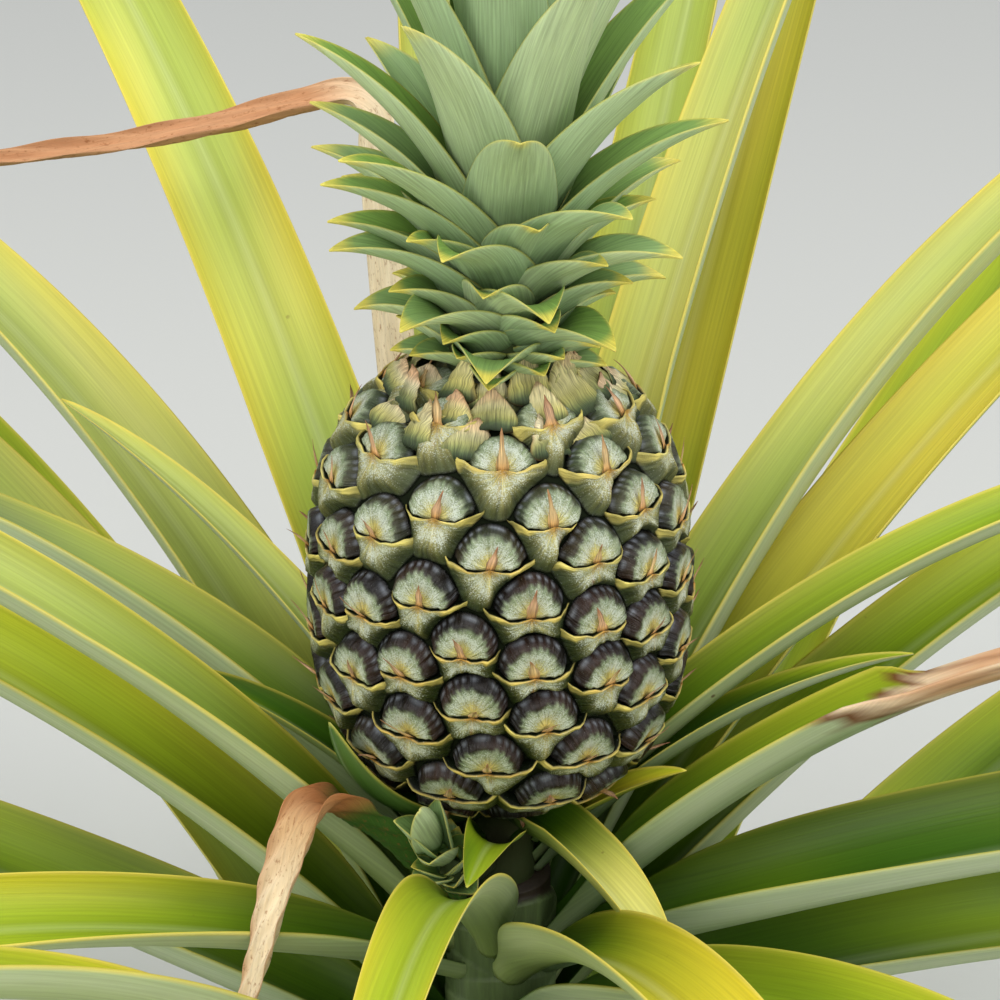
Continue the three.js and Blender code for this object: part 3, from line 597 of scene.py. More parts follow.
# Fruitlets on the side that the camera sees, from the top down: azimuth and height.
FRONT_EYES = [
    (-153, 434), (165, 429), (-65, 429), (-121, 429), (-22, 426), (18, 422), (-89, 420),
    (-177, 420), (-142, 418), (-49, 416), (-10, 412), (-111, 406), (-73, 404), (-161, 404),
    (-39, 402), (7, 398), (-132, 396), (-93, 392), (-60, 391), (-18, 390), (-150, 385),
    (-40, 381), (-114, 378), (-81, 376), (-20, 370), (-134, 369), (-59, 368), (-154, 364),
    (-101, 362), (-39, 360), (-80, 355), (-120, 352), (-168, 349), (-56, 348), (-19, 345),
    (-139, 345), (-98, 341), (-40, 337), (-76, 335), (-119, 330), (-155, 329), (-61, 320),
    (-94, 319), (-32, 316), (-138, 314), (-109, 305), (-70, 302), (-38, 296),
]


def barrel(samples=900):
    """Arc length, radius, height, and the outward normal's two parts, up the rind: an
    ellipse whose sine and cosine are raised to a power below 1, so that it is fuller."""
    phi = np.pi * (np.arange(samples + 1) / samples - 0.5)
    power = 2 / FRUIT_POWER
    r = FRUIT_R * np.abs(np.cos(phi)) ** power
    z = FRUIT_MID + FRUIT_HALF * np.sign(phi) * np.abs(np.sin(phi)) ** power
    s = np.concatenate([[0], np.cumsum(np.hypot(np.diff(r), np.diff(z)))])
    dr, dz = np.gradient(r), np.gradient(z)
    length = np.hypot(dr, dz) + 1e-9
    return s, r, z, dz / length, -dr / length


ARC, ARC_R, ARC_Z, ARC_NR, ARC_NZ = barrel()


def rind_at(s):
    """Radius, height and the normal's two parts at the arc length s."""
    return [np.interp(s, ARC, column) for column in (ARC_R, ARC_Z, ARC_NR, ARC_NZ)]


def round_at(s):
    """The radius by which a width at the arc length s becomes an angle."""
    return np.maximum(np.interp(s, ARC, ARC_R), LEAST_R)


def on_rind(turn, s, out):
    """The point at the turn and arc length, out millimetres along the rind's normal."""
    r, z, nr, nz = rind_at(s)
    reach = r + nr * out
    return np.stack([reach * np.cos(turn), reach * np.sin(turn), z + nz * out], -1)


def eye_places():
    """Turn and arc length of each fruitlet. The front ones are given; the others start at
    equal areas of rind, a golden turn apart, and each round pushes them apart by the
    square of how much nearer than the reach they are, and back onto the barrel."""
    azimuth, height = np.array(FRONT_EYES, float).T
    azimuth, rise = np.radians(azimuth), np.abs(height - FRUIT_MID) / FRUIT_HALF
    flat = FRUIT_R * (1 - rise ** FRUIT_POWER) ** (1 / FRUIT_POWER)
    front = np.stack([flat * np.cos(azimuth), flat * np.sin(azimuth), height], 1)
    area = np.concatenate([[0], np.cumsum((ARC_R[1:] + ARC_R[:-1]) * np.diff(ARC))])
    wanted = np.interp(area[-1] * (np.arange(EYE_COUNT) + 0.5) / EYE_COUNT, area, ARC)
    others = on_rind(np.radians(GOLDEN * np.arange(EYE_COUNT)), wanted, 0)
    others = others[np.linalg.norm(others[:, None] - front, axis=2).min(1) > EYE_CLEAR]
    for _ in range(EYE_ROUNDS):
        apart = others[:, None] - np.vstack([front, others])
        far = np.linalg.norm(apart, axis=2)
        near = (far > 1e-6) & (far < EYE_REACH)
        push = np.where(near, (1 - far / EYE_REACH) ** 2 / np.maximum(far, 1e-6), 0)
        others = others + EYE_STEP * (apart * push[..., None]).sum(1)
        rise = np.abs(others[:, 2] - FRUIT_MID) / FRUIT_HALF
        wide = np.hypot(others[:, 0], others[:, 1]) / FRUIT_R
        out = ((wide ** FRUIT_POWER + rise ** FRUIT_POWER) ** (1 / FRUIT_POWER))[:, None]
        others = (others - [0, 0, FRUIT_MID]) / out + [0, 0, FRUIT_MID]
    eyes = np.vstack([front, others])
    return np.arctan2(eyes[:, 1], eyes[:, 0]), np.interp(eyes[:, 2], ARC_Z, ARC)


EYE_TURN, EYE_ARC = eye_places()


def neighbours_of(index):
    """Where the nearest other fruitlets lie from this one: along the rind sideways, up,
    and in all, in millimetres."""
    dx = (EYE_TURN - EYE_TURN[index] + np.pi) % (2 * np.pi) - np.pi
    dx, dy = dx * (round_at(EYE_ARC[index]) + round_at(EYE_ARC)) / 2, EYE_ARC - EYE_ARC[index]
    far = np.hypot(dx, dy)
    near = (far > 1) & (far < NEIGHBOUR_FAR)
    return dx[near], dy[near], far[near]


def soft_least(limits, sharp):
    """The least of each row, rounded where two are alike."""
    return (limits ** -sharp).sum(1) ** (-1 / sharp)


def bisectors(index, angles, lower):
    """How far each direction goes to the line between this fruitlet and each neighbour.
    Lower is how much more than half of the way up is its own, and less of the way down."""
    dx, dy, far = neighbours_of(index)
    share = 0.5 + lower * np.clip(dy / far, -1, 1)
    facing = np.clip(np.cos(angles[:, None] - np.arctan2(dy, dx)), 1e-3, None)
    return share * far / facing


def dome_reach(index, angles):
    """A dome's rim: an ellipse, cut at the lines between it and its neighbours."""
    round_off = 1 / np.hypot(np.cos(angles) / DOME_WIDE, np.sin(angles) / DOME_TALL)
    limits = bisectors(index, angles, 0.20)
    return soft_least(np.concatenate([limits, round_off[:, None]], 1), 12) * 0.99


def bract_reach(index, angles, low):
    """A bract's rim: to the line between neighbours, or to where the ray meets the ellipse
    of a dome below or beside it, the lesser root of a quadratic."""
    dx, dy, far = neighbours_of(index)
    limits = bisectors(index, angles, 0.02 + 0.06 * low) * 1.12
    ray = np.stack([np.cos(angles), np.sin(angles)], 1)
    a = (ray[:, :1] / DOME_WIDE) ** 2 + (ray[:, 1:] / DOME_TALL) ** 2
    b = ray[:, :1] * dx / DOME_WIDE ** 2 + ray[:, 1:] * dy / DOME_TALL ** 2
    c = (dx / DOME_WIDE) ** 2 + (dy / DOME_TALL) ** 2 - 1
    under = b * b - a * c
    hit = (b - np.sqrt(np.clip(under, 0, None))) / a
    hit = np.where((under > 0) & (hit > 3) & (hit * ray[:, 1:] > dy), hit, 99.0)
    return soft_least(np.concatenate([limits, hit], 1), 14) * 1.03


MEAL, SAGE, MOSS, PLUM, UMBER, CREASE_SHADE = tones(
    "#B4BCA0", "#667C50", "#22300F", "#16110F", "#2E1D14", "#050604")
BUTTER, HONEY, AMBER, FROST_AND_HIGHLIGHT = tones("#EFDD78", "#D9C468", "#E09A34", "#A2A8B2")
PINK, SAND, CREAM, CHESTNUT = tones("#D8AC84", "#DDBC84", "#E9DFB8", "#8A4E24")
# Where the points of a dome and of a bract lie, as shares of the way out to its rim.
DOME_OUT = np.array([0, 0.14, 0.28, 0.42, 0.54, 0.63, 0.70, 0.76, 0.82, 0.87, 0.92, 0.96, 1.0])
BRACT_OUT = np.array([0, 0.12, 0.25, 0.4, 0.55, 0.68, 0.78, 0.86, 0.92, 0.96, 1.0])


def moustache(a, seed, low):
    """How far the line between dome and bract lies above the point's foot, at a to the
    side: it dips a little beside the point, wavers, and turns up towards both corners."""
    far = np.abs(a) / 14
    waver = 0.35 * np.sin(a * 0.9 + seed) + 0.22 * np.sin(a * 2.3 + 2 * seed)
    return (2.6 + 1.6 * (1 - low)) * far ** 2.2 - 1.4 * smooth(far * 3.5) + waver * smooth(far * 2)


def dome_of(index, top, low):
    """A fruitlet's upper part, rays from the bract's point to the rim: it swells out of
    the crease within a fourth of its reach and is a little hollow in the middle. The rim
    is dark and radially wrinkled, the middle mealy, yellow at the point. Along the rim's
    outer edge on its upper side runs a pale line, partly whitish scurf and partly a
    painted highlight; the crease beyond the rim and the slit are painted near-black as
    shade. Top and low are shares by which it is one of the topmost or of the lower ones."""
    theta, q, seed = np.linspace(SLIT, np.pi - SLIT, 57), DOME_OUT, index * 1.7
    reach = dome_reach(index, theta)
    lift = 4.3 * smooth((1 - q) / 0.24) - 1.3 * smooth((0.8 - q) / 0.8) - 2.4
    a, b = np.cos(theta)[:, None] * reach[:, None] * q, np.sin(theta)[:, None] * reach[:, None] * q
    sunk = bell(b / 0.75) * smooth(np.abs(a) / 5)
    spokes = np.sin(theta * 19 + 3 * np.sin(theta * 4 + seed))[:, None]
    height = lift + 0.22 * spokes * bell((q - 0.88) / 0.12) - 1.2 * sunk
    inner_edge = 0.71 - 0.05 * low + 0.035 * np.sin(theta * 5 + seed)[:, None] + 0.035 * spokes
    rimmed = smooth((q - inner_edge) / 0.12) * (1 - 0.12 * top)
    fine_rays = 0.5 + 0.5 * np.sin(theta * 17 + 2 * np.sin(theta * 5 + seed))[:, None]
    centre = mixed(MEAL, SAGE, 0.30 + 0.4 * fine_rays + 0 * q)
    centre = mixed(centre, MOSS, 0.22 + 0.5 * bell((q - 0.18) / 0.16) * fine_rays + 0 * a)
    centre = mixed(centre, BUTTER, 0.85 * bell(np.hypot(a * 0.8, b - 2) / 3.4))
    rim_tone = mixed(UMBER, PLUM, 0.5 + 0.5 * np.sin(theta * 2.3 + seed)[:, None] + 0 * q)
    rim_tone = mixed(rim_tone, SAGE, (top * 0.35 + 0 * a) * smooth((1 - q) / 0.12))
    # Partly whitish scurf and partly a painted highlight: a pale line along the rim's outer edge, on its
    # upper side.
    frost_and_highlight = bell((q - 0.92) / 0.035) * smooth(np.sin(theta) * 1.6)[:, None] * (0.22 + 0.3 * spokes)
    hues = mixed(centre, rim_tone, rimmed)
    hues = mixed(hues, FROST_AND_HIGHLIGHT, np.clip(frost_and_highlight, 0, 1))
    # Painted shade: near-black in the crease beyond the rim and in the slit.
    hues = mixed(hues, CREASE_SHADE, np.clip(smooth((q - 0.94) / 0.05) + 0.75 * sunk, 0, 1))
    bloom = (1 - rimmed) * (0.20 + 0.80 * bell((q - 0.50) / 0.20)) * (1 - 0.9 * sunk)
    return theta, q, a, b + moustache(a, index, low) * bell(b / 7), height, hues, bloom


def bract_of(index, top, low):
    """A fruitlet's lower part: a shield with a raised yellow lip over the slit, a low keel
    from its point down, and sides that fall into the crease. Mealy and honey-coloured
    near the lip, and dark green farther down, partly its own colour and partly painted
    shade towards the crease; its edge in the crease is painted near-black as shade, and
    some have a chestnut fleck."""
    theta, q, seed = np.linspace(np.pi - SLIT * 0.4, 2 * np.pi + SLIT * 0.4, 53), BRACT_OUT, index * 2.3
    reach = bract_reach(index, theta, low)
    a, b = np.cos(theta)[:, None] * reach[:, None] * q, np.sin(theta)[:, None] * reach[:, None] * q
    edge = np.maximum(-b, 0)
    lip = bell(edge / 1.1)
    lift = 3.7 * smooth((1 - q) / 0.35) - 2.5
    keel = 0.9 * bell(np.cos(theta) / 0.22)[:, None] * smooth(q * 2) * smooth((1 - q) / 0.3)
    wing = smooth((1.04 - q) / 0.25) * smooth((np.abs(np.cos(theta)) - 0.75) / 0.2)[:, None]
    height = lift + (0.75 + 0.3 * top) * lip * smooth((1 - q) / 0.15) + keel + 0.4 * wing
    ray = 0.5 + 0.5 * np.sin(theta * 21 + 2 * np.sin(theta * 7 + seed))[:, None]
    body = mixed(MEAL, SAGE, 0.45 + 0.4 * ray + 0 * q)
    # Partly the bract's own dark green and partly painted shade: darker green towards the crease.
    body = mixed(body, MOSS, smooth((q - 0.24) / 0.42) * (0.85 + 0.15 * low) + 0 * a)
    glow = bell(q / (0.46 + 0.12 * top)) * (0.7 + 0.1 * top) * (0.5 + 0.5 * ray)
    glow = np.maximum(glow, 0.75 * bell(np.cos(theta) / 0.16)[:, None] * bell(q / 0.6))
    body = mixed(body, HONEY, glow)
    border = smooth(0.6 + 2.4 * q ** 2 - edge) * smooth(q * 9) * (0.75 + 0.25 * np.sin(a * 0.8 + seed))
    warm = np.clip(0.05 + 0.4 * low + 0.35 * math.sin(seed), 0, 1)
    hues = mixed(body, mixed(BUTTER, AMBER, warm * bell(q / 0.6) + 0 * a), border * 0.9)
    hues = mixed(hues, AMBER, 0.8 * bell(np.hypot(a, b) / 1.8))
    # Painted shade: near-black where the bract's edge runs into the crease.
    hues = mixed(hues, CREASE_SHADE, 0.85 * smooth((q - 0.92) / 0.08) + 0 * a)
    if index % 3 == 0:
        fleck = bell((a - 2 * math.sin(seed * 3)) / 0.5) * bell((edge - 5) / 1.6)
        hues = mixed(hues, CHESTNUT, 0.55 * fleck)
    bloom = (0.95 - 0.15 * top * bell(q / 0.5)) * bell((q - 0.36) / 0.32) * (1 - border)
    return theta, q, a, b + moustache(a, index, low) * bell(b / 7), height, hues, bloom


rind_skin, tree, shader = new_material("mealy pineapple rind")
# Hard waxy rind, glossy where it is dark and bare, with a white bloom in grains. Real
# grains are about 0.1 mm: drawn 0.4 mm so that they show, thinned in patches of 4 mm.
# Wrinkles 0.8 mm apart run from each fruitlet's point outwards.
hue = add(tree, "Attribute", attribute_name="hue").outputs["Color"]
spot = add(tree, "Attribute", attribute_name="weave").outputs["Vector"]
bloom = add(tree, "Attribute", attribute_name="bloom").outputs["Fac"]
place = add(tree, "TexCoord").outputs["Object"]
meal = add(tree, "TexNoise", {"Vector": place, "Scale": 2.3 / MM, "Detail": 2, "Roughness": 0.7})
rays = add(tree, "Mapping", {"Vector": spot, "Scale": (1 / 0.8333, 1 / 8.333, 1)})
lines = add(tree, "TexNoise", {"Vector": rays.outputs[0], "Scale": 1.0, "Detail": 2})
fibres = add(tree, "MapRange", {"Value": lines.outputs["Fac"], 1: 0.3, 2: 0.7, 3: 0.68, 4: 1.3})
shade = add(tree, "VectorMath", {0: hue, "Scale": fibres.outputs[0]}, operation="SCALE")
uneven = add(tree, "TexNoise", {"Vector": place, "Scale": 0.26 / MM, "Detail": 2})
patchy = add(tree, "MapRange", {"Value": uneven.outputs["Fac"], 1: 0.3, 2: 0.65, 3: 0.18, 4: 0.40})
share = add(tree, "Math", {0: bloom, 1: patchy.outputs[0], 2: meal.outputs["Fac"]},
            operation="MULTIPLY_ADD")
grains = add(tree, "MapRange", {"Value": share.outputs[0], 1: 0.66, 2: 0.88, 3: 0.0, 4: 0.70})
colour = add(tree, "Mix", {0: grains.outputs[0], 6: shade.outputs[0], 7: tone("#D9E0D4")}, data_type="RGBA")
tree.links.new(colour.outputs[2], shader.inputs["Base Color"])
light = add(tree, "RGBToBW", {0: hue})
gloss = add(tree, "MapRange", {"Value": light.outputs[0], 1: 0.015, 2: 0.2, 3: 0.36, 4: 0.62})
tree.links.new(gloss.outputs[0], shader.inputs["Roughness"])
shader.inputs["Specular IOR Level"].default_value = 0.32
relief = add(tree, "Math", {0: meal.outputs["Fac"], 1: 0.25, 2: lines.outputs["Fac"]},
             operation="MULTIPLY_ADD")
bump = add(tree, "Bump", {"Height": relief.outputs[0], "Strength": 0.8, "Distance": 0.0012})
tree.links.new(bump.outputs[0], shader.inputs["Normal"])


def closed_fan(rows, columns):
    """Faces of a solid over a fan of rows rays with columns points each, the first shared
    by all. Points are numbered: that one, the others ray by ray, then the fan's outline
    twice, sunk a little and sunk deep. Also gives the outline as numbers of fan points."""
    at = np.arange(rows)[:, None] * (columns - 1) + np.arange(columns - 1) + 1
    tips = np.stack([at[:-1, 0], at[1:, 0], np.zeros(rows - 1, int)], 1)
    quads = np.stack([at[:-1, :-1], at[:-1, 1:], at[1:, 1:], at[1:, :-1]], -1).reshape(-1, 4)
    loop = np.concatenate([at[:, -1], at[-1, -2::-1], [0], at[0, :-1]])
    faces = tips.tolist() + quads.tolist()
    first = at[-1, -1] + 1
    upper = loop
    for level in range(2):
        lower = first + level * len(loop) + np.arange(len(loop))
        faces += np.stack([lower, np.roll(lower, -1), np.roll(upper, -1), upper], 1).tolist()
        upper = lower
    return faces + [upper[::-1].tolist()], loop


def fruitlet_part(index, part):
    """One fruitlet's dome or bract laid on the rind as points, faces and attributes. Its
    own plane is bent round: aside over the radius is the turn, up is arc length."""
    arc = EYE_ARC[index]
    top = float(smooth((arc / ARC[-1] - 0.55) / 0.3))
    low = 1 - float(smooth((arc / ARC[-1] - 0.45) / 0.3))
    theta, q, a, b, height, hue, bloom = part(index, top, low)
    rim = np.interp(np.clip(arc + b, 0, ARC[-1]), ARC, ARC_R)
    turn = EYE_TURN[index] + a / np.maximum((round_at(arc) + rim) / 2, 10)
    weave = np.stack([theta[:, None] * 9 + 0 * a, q * 14 + 0 * a, 31.0 * index + 0 * a], -1)
    faces, loop = closed_fan(len(theta), len(q))
    grids = (turn, np.clip(arc + b, 0.5, ARC[-1] - 0.5), height, hue, weave, bloom)
    fan = [np.concatenate([grid[:1, 0], grid[:, 1:].reshape((-1,) + grid.shape[2:])]) for grid in grids]
    turn, arc, height, hue, weave, bloom = (np.concatenate([v, v[loop], v[loop]]) for v in fan)
    height[-2 * len(loop):-len(loop)] -= 0.9
    height[-len(loop):] = -4.6
    # Painted shade: the walls that sink into the crease are painted near-black.
    hue[-2 * len(loop):] = mixed(CREASE_SHADE, MOSS, 0.2)
    bloom[-2 * len(loop):] = 0
    return on_rind(turn, arc, height), faces, {"hue": hue, "weave": weave, "bloom": bloom}


def joined(parts):
    """Several meshes as one: points, faces and each attribute, end to end."""
    starts = np.cumsum([0] + [len(points) for points, _, _ in parts]).tolist()
    faces = [[k + start for k in face] for start, (_, own, _) in zip(starts, parts) for face in own]
    attributes = {key: np.concatenate([part[2][key] for part in parts]) for key in parts[0][2]}
    return np.vstack([points for points, _, _ in parts]), faces, attributes


for name, part in (("fruitlet_domes", dome_of), ("fruitlet_bracts", bract_of)):
    points, faces, attributes = joined([fruitlet_part(index, part) for index in range(len(EYE_ARC))])
    make_piece(name, points, faces, rind_skin, "fruit", attributes)

core_skin, tree, shader = new_material("dark crease of the rind")
# The skin at the bottom of the creases, dull, painted almost black-green as shade, uneven over 2.5 mm.
place = add(tree, "TexCoord").outputs["Object"]
grain = add(tree, "TexNoise", {"Vector": place, "Scale": 0.4 / MM})
colour = add(tree, "Mix", {0: grain.outputs["Fac"], 6: tone("#0B1006"), 7: tone("#161D0C")}, data_type="RGBA")
tree.links.new(colour.outputs[2], shader.inputs["Base Color"])
shader.inputs["Roughness"].default_value = 0.85
shader.inputs["Specular IOR Level"].default_value = 0.1
sides, rings = 72, 90
core_r, core_z, core_nr, core_nz = rind_at(np.linspace(1, ARC[-1] - 1, rings))
points = lathe(core_z - CORE_INSET * core_nz, np.maximum(core_r - CORE_INSET * core_nr, 0.5), sides)
make_piece("rind_core", points, capped_rings(rings, sides), core_skin, "fruit")

point_skin, tree, shader = veined_material(
    "papery bract point", wide=0.4545, long=8.333, detail=3, coarse=0.5, streaks=(0.5, 1.2),
    relief=(0.5, 0.0006), spread=(0.35, 0.65))[:3]
# Thin dead tips of the bracts, dull: amber where they leave the bract, straw outwards. Their
# fibres are 0.2 mm apart, drawn 0.45 mm apart so that they show.
shader.inputs["Roughness"].default_value = 0.7

# A point's section is a flat diamond, as shares of its half width and half thickness.
POINT_SECTION, POINT_RINGS, POINT_FINEST = np.array([[-1, 0], [0, 0.55], [1, 0], [0, -0.55]]), 8, 0.12


def running(steps, scale):
    """The running sum of all steps but the first, from 0, times scale."""
    return np.concatenate([[0], np.cumsum(steps[1:])]) * scale


def point_of(index):
    """One bract's dry point as points, faces and attributes: a diamond carried along a line
    whose rise off the rind and lean change as it goes, both picked at random, and whose
    width falls as the length left to the power 0.75, a little wavy."""
    top = float(smooth((EYE_ARC[index] / ARC[-1] - 0.62) / 0.3))
    rng = np.random.default_rng(900 + index)
    length = 8 + 4.5 * rng.random() + 2 * top
    width = 1.5 + 0.6 * rng.random() + 0.9 * top
    t = np.linspace(0, 1, POINT_RINGS)
    rise = np.radians(18 + 30 * rng.random() ** 1.5 + 34 * t ** 2 * (rng.random() - 0.4))
    lean = np.radians(14 * rng.normal()) + 0.5 * rng.normal() * t
    step = length / (POINT_RINGS - 1)
    out, ahead = running(np.sin(rise), step) + 0.9, running(np.cos(rise), step) - 0.4
    swing = running(np.sin(lean), 0.6 * step)
    wide = width * (1 - t) ** 0.75 * (1 + 0.25 * np.sin(t * 9 + index))
    a = swing[:, None] + POINT_SECTION[:, 0] * np.maximum(wide, POINT_FINEST)[:, None]
    high = out[:, None] + POINT_SECTION[:, 1] * np.maximum(0.5 * wide, POINT_FINEST)[:, None]
    s = np.clip(EYE_ARC[index] + ahead[:, None] + 0 * a, 0, ARC[-1] + 12)
    points = on_rind(EYE_TURN[index] + a / round_at(EYE_ARC[index]), s, high)
    hue = mixed(mixed(AMBER, SAND, 0.4), PINK if index % 3 else SAND, smooth(t * 2.5))
    hue = mixed(hue, CHESTNUT, 0.8 * smooth((t - 0.45) / 0.5))
    across = wide[:, None] * POINT_SECTION[:, 0]
    weave = np.stack([across, length * t[:, None] + 0 * across, 9.0 * index + 0 * across], -1)
    return points.reshape(-1, 3), capped_rings(POINT_RINGS, 4), {
        "hue": np.repeat(hue, 4, 0), "weave": weave.reshape(-1, 3)}


points, faces, attributes = joined([point_of(index) for index in range(len(EYE_ARC))])
make_piece("bract_points", points, faces, point_skin, "fruit", attributes)


# Papery collar
# The topmost bracts of the fruit stay small and crowd round the crown's foot. They are
# long, pale and dry, and lie up over the fruit's shoulder.

# A row is a ring of bracts: how many, its radius and height, their pitch at foot and tip,
# and their length. They lean in over the axis, so their pitch is above 90 degrees.
COLLAR_RINGS = [(13, 46, 423.5, 148, 136, 19), (14, 38, 430, 144, 118, 18), (12, 30, 434.5, 134, 96, 15)]

bracts = []
rng = np.random.default_rng(41)
for count, radius, height, pitch0, pitch1, length in COLLAR_RINGS:
    for n in range(count):
        leaf = blade(360 * (n + 0.5 * rng.random()) / count + count + radius, height + 0.8 * rng.normal(),
                     pitch0 + 5 * rng.normal(), pitch1 + 14 * rng.normal(),
                     dict(length=length * (0.7 + 0.5 * rng.random()), width=16 + 9 * rng.random(),
                          fold=36, taper=1.0, roll=20 * rng.normal(), sweep=26 * rng.normal()))
        points, faces, spot = blade_shell(leaf, radius, np.linspace(0, 0.98, 16), 13, 0.6, ripple=0.6)
        u = spot[:, 1]
        hue = mixed(np.broadcast_to(MOSS, spot.shape), SAGE, smooth(u / 0.3))
        hue = mixed(hue, BUTTER, smooth((u - 0.1) / 0.3) * (0.3 + 0.5 * rng.random()))
        hue = mixed(hue, CREAM, smooth((u - 0.25) / 0.4) * (0.3 + 0.7 * rng.random()))
        hue = mixed(hue, MOSS, 0.5 * rng.random() * bell(spot[:, 0] / 0.5) * bell((u - 0.35) / 0.3))
        hue = mixed(hue, PINK, smooth((u - 0.5) / 0.3) * rng.random())
        hue = mixed(hue, CHESTNUT, bell((np.abs(spot[:, 0]) - 1) / 0.12) * 0.5 * rng.random())
        hue = mixed(hue, CHESTNUT, 0.7 * rng.random() * smooth((u - 0.85) / 0.1))
        weave = np.stack([spot[:, 0] * half_width(leaf, u), u * length, 7.0 * n + radius + 0 * u], 1)
        bracts.append((points, faces, {"hue": hue, "weave": weave}))
points, faces, attributes = joined(bracts)
make_piece("collar_bracts", points, faces, point_skin, "fruit", attributes)


# Crown
# A tuft of stiff blue-green leaves on top of the fruit, overlapping like scales. The
# lowest are short and curl out; all have pale margins and yellow tips.

# A tuft's first azimuth, its number of leaves, its core's radius at foot and top, the leaves'
# height, shortest and longest length, width and fold, the lowest leaf's pitch at foot and
# tip, how many scales and skirt leaves, and each extra leaf's rise, azimuth and length.
CROWN = dict(turn=-96, count=42, foot=18, top=9, height=76, shortest=34, longest=152, width=36,
             fold=52, foot_pitch=43, tip_pitch=-23, scales=20, skirt=15,
             extra=[(0.28, 184, 0.95), (0.38, 204, 1.0), (0.47, 176, 0.95), (0.33, 160, 0.9)])
CROWN_FOOT, CROWN_LEAN, CROWN_THICK = FRUIT_MID + FRUIT_HALF + GAP, 2.5, 1.6
GREY_GREEN, BLUE_GREEN, FRESH, SHADE, LEMON = tones(
    "#BFCE9E", "#95AF80", "#7A9C46", "#4C6B3C", "#E0CF5A")


def tuft_blades(sizes):
    """A tuft's leaves, each with its distance from the axis. Leaf n leaves the core a
    golden turn on from the last and higher, longer and steeper. Shorter scales stand
    aside among the lower ones, a few extra leaves fill the side where the real crown is
    denser, and a skirt of the shortest lies round the foot."""
    def between(low, high, share):
        """From low to high by share."""
        return low + (high - low) * share

    def leaf_at(rise, azimuth, up, short, slim):
        """The leaf at a share of the core's height, turned up by some degrees, and short
        and slim as shares of a full leaf there."""
        shape = dict(length=between(sizes["shortest"], sizes["longest"], rise ** 1.3) * short,
                     width=sizes["width"] * slim, fold=sizes["fold"], taper=1.0 - 0.25 * rise)
        leaf = blade(azimuth, sizes["height"] * (0.04 + 0.9 * rise),
                     between(sizes["foot_pitch"] + up, 88, rise ** 1.1),
                     between(sizes["tip_pitch"] + up, 85, rise ** 1.3), shape)
        return leaf, between(sizes["foot"], sizes["top"], rise) * 0.8

    made = [leaf_at(n / (sizes["count"] - 1), sizes["turn"] + GOLDEN * n, 0, 1.03, 1.04)
            for n in range(sizes["count"])]
    made += [leaf_at(rise, azimuth, 0, short, 1.0) for rise, azimuth, short in sizes["extra"]]
    for n in range(sizes["scales"]):
        rise = 0.40 * (n + 0.3) / sizes["scales"]
        made.append(leaf_at(rise, sizes["turn"] + 62 + GOLDEN * n, 12, 0.80, 0.85))
    for n in range(sizes["skirt"]):
        leaf, start = leaf_at(0.0, sizes["turn"] + 24 * n + 7 * math.sin(n * 2.4), 8, 0.62, 0.62)
        leaf["height"] = 0.6 + 1.6 * (n % 3)
        leaf["pitch0"], leaf["pitch1"] = 26 + 7 * (n % 3), -8 + 9 * (n % 3)
        made.append((leaf, start * 1.1))
    return made


def tuft(sizes, thick, columns, rows):
    """The leaves of a tuft that stands on its own origin along +Z, as points, faces and
    attributes: silvery outside, greener inside, with pale margins and yellow tips."""
    made = []
    for n, (leaf, start) in enumerate(tuft_blades(sizes)):
        rise = np.clip((leaf["length"] - sizes["shortest"]) / (sizes["longest"] - sizes["shortest"]), 0, 1)
        points, faces, spot = blade_shell(leaf, start, np.linspace(0, 0.99, rows), columns, thick)
        across, u, outer = spot.T
        back = mixed(GREY_GREEN, BLUE_GREEN, np.clip(0.4 + 0.3 * np.sin(n * 2.1) + 0.3 * (1 - u), 0, 1))
        face = mixed(np.broadcast_to(FRESH, spot.shape), BLUE_GREEN, 0.3 + 0.3 * np.sin(n * 1.3))
        hues = mixed(np.where(outer[:, None] > 0.5, back, face), SHADE, 0.75 * smooth((0.45 - u) / 0.45))
        flat = half_width(leaf, u) * (1 - np.abs(across))
        hues = mixed(hues, LEMON, 0.55 * smooth((0.65 - flat) / 0.5))
        tip = smooth((u - 0.88 + 0.12 * (1 - rise) ** 2) / 0.14) * (0.9 - 0.5 * rise)
        hues = mixed(hues, LEMON, tip)
        made.append((points, faces, {"hue": hues, "weave": weave_of(leaf, spot, 20 * outer + 61.0 * n)}))
    return joined(made)


def leaned(points, angle, move):
    """Points leaned by an angle from +Z towards +X, then moved."""
    c, s = math.cos(math.radians(angle)), math.sin(math.radians(angle))
    x, y, z = points.T
    return np.stack([x * c + z * s, y, z * c - x * s], 1) + move


crown_skin, tree, shader = veined_material(
    "scurfy crown leaf", wide=0.625, long=33.33, detail=4, coarse=0.65, streaks=(0.72, 1.3),
    relief=(0.3, 0.0006))[:3]
# Young leaf under a grey scurf, satin rather than shiny. The scurf lies in lengthwise lines
# about 0.3 mm apart, drawn 0.6 mm apart so that they show.
shader.inputs["Roughness"].default_value = 0.5
shader.inputs["Subsurface Weight"].default_value = 0.06
shader.inputs["Subsurface Radius"].default_value = (0.003, 0.005, 0.001)

points, faces, attributes = tuft(CROWN, CROWN_THICK, 15, 30)
make_piece("crown_leaves", leaned(points, CROWN_LEAN, [0, 0, CROWN_FOOT]), faces, crown_skin,
           "crown", attributes)

# The core that carries the leaves: a short cone, 2 mm into the fruit's shoulder.
z = np.array([0, 0.01, 0.1, 0.2, 0.6, 1.0, 1.08]) * CROWN["height"]
radius = np.array([0.3, 1.0, 1.0, 1.0, 0.72, 0.5, 0.05]) * CROWN["foot"] * 0.97
sides = 40
points = leaned(lathe(z, radius, sides), CROWN_LEAN, [0, 0, CROWN_FOOT - 2])
make_piece("crown_core", points, capped_rings(len(z), sides), stem_bark, "crown")


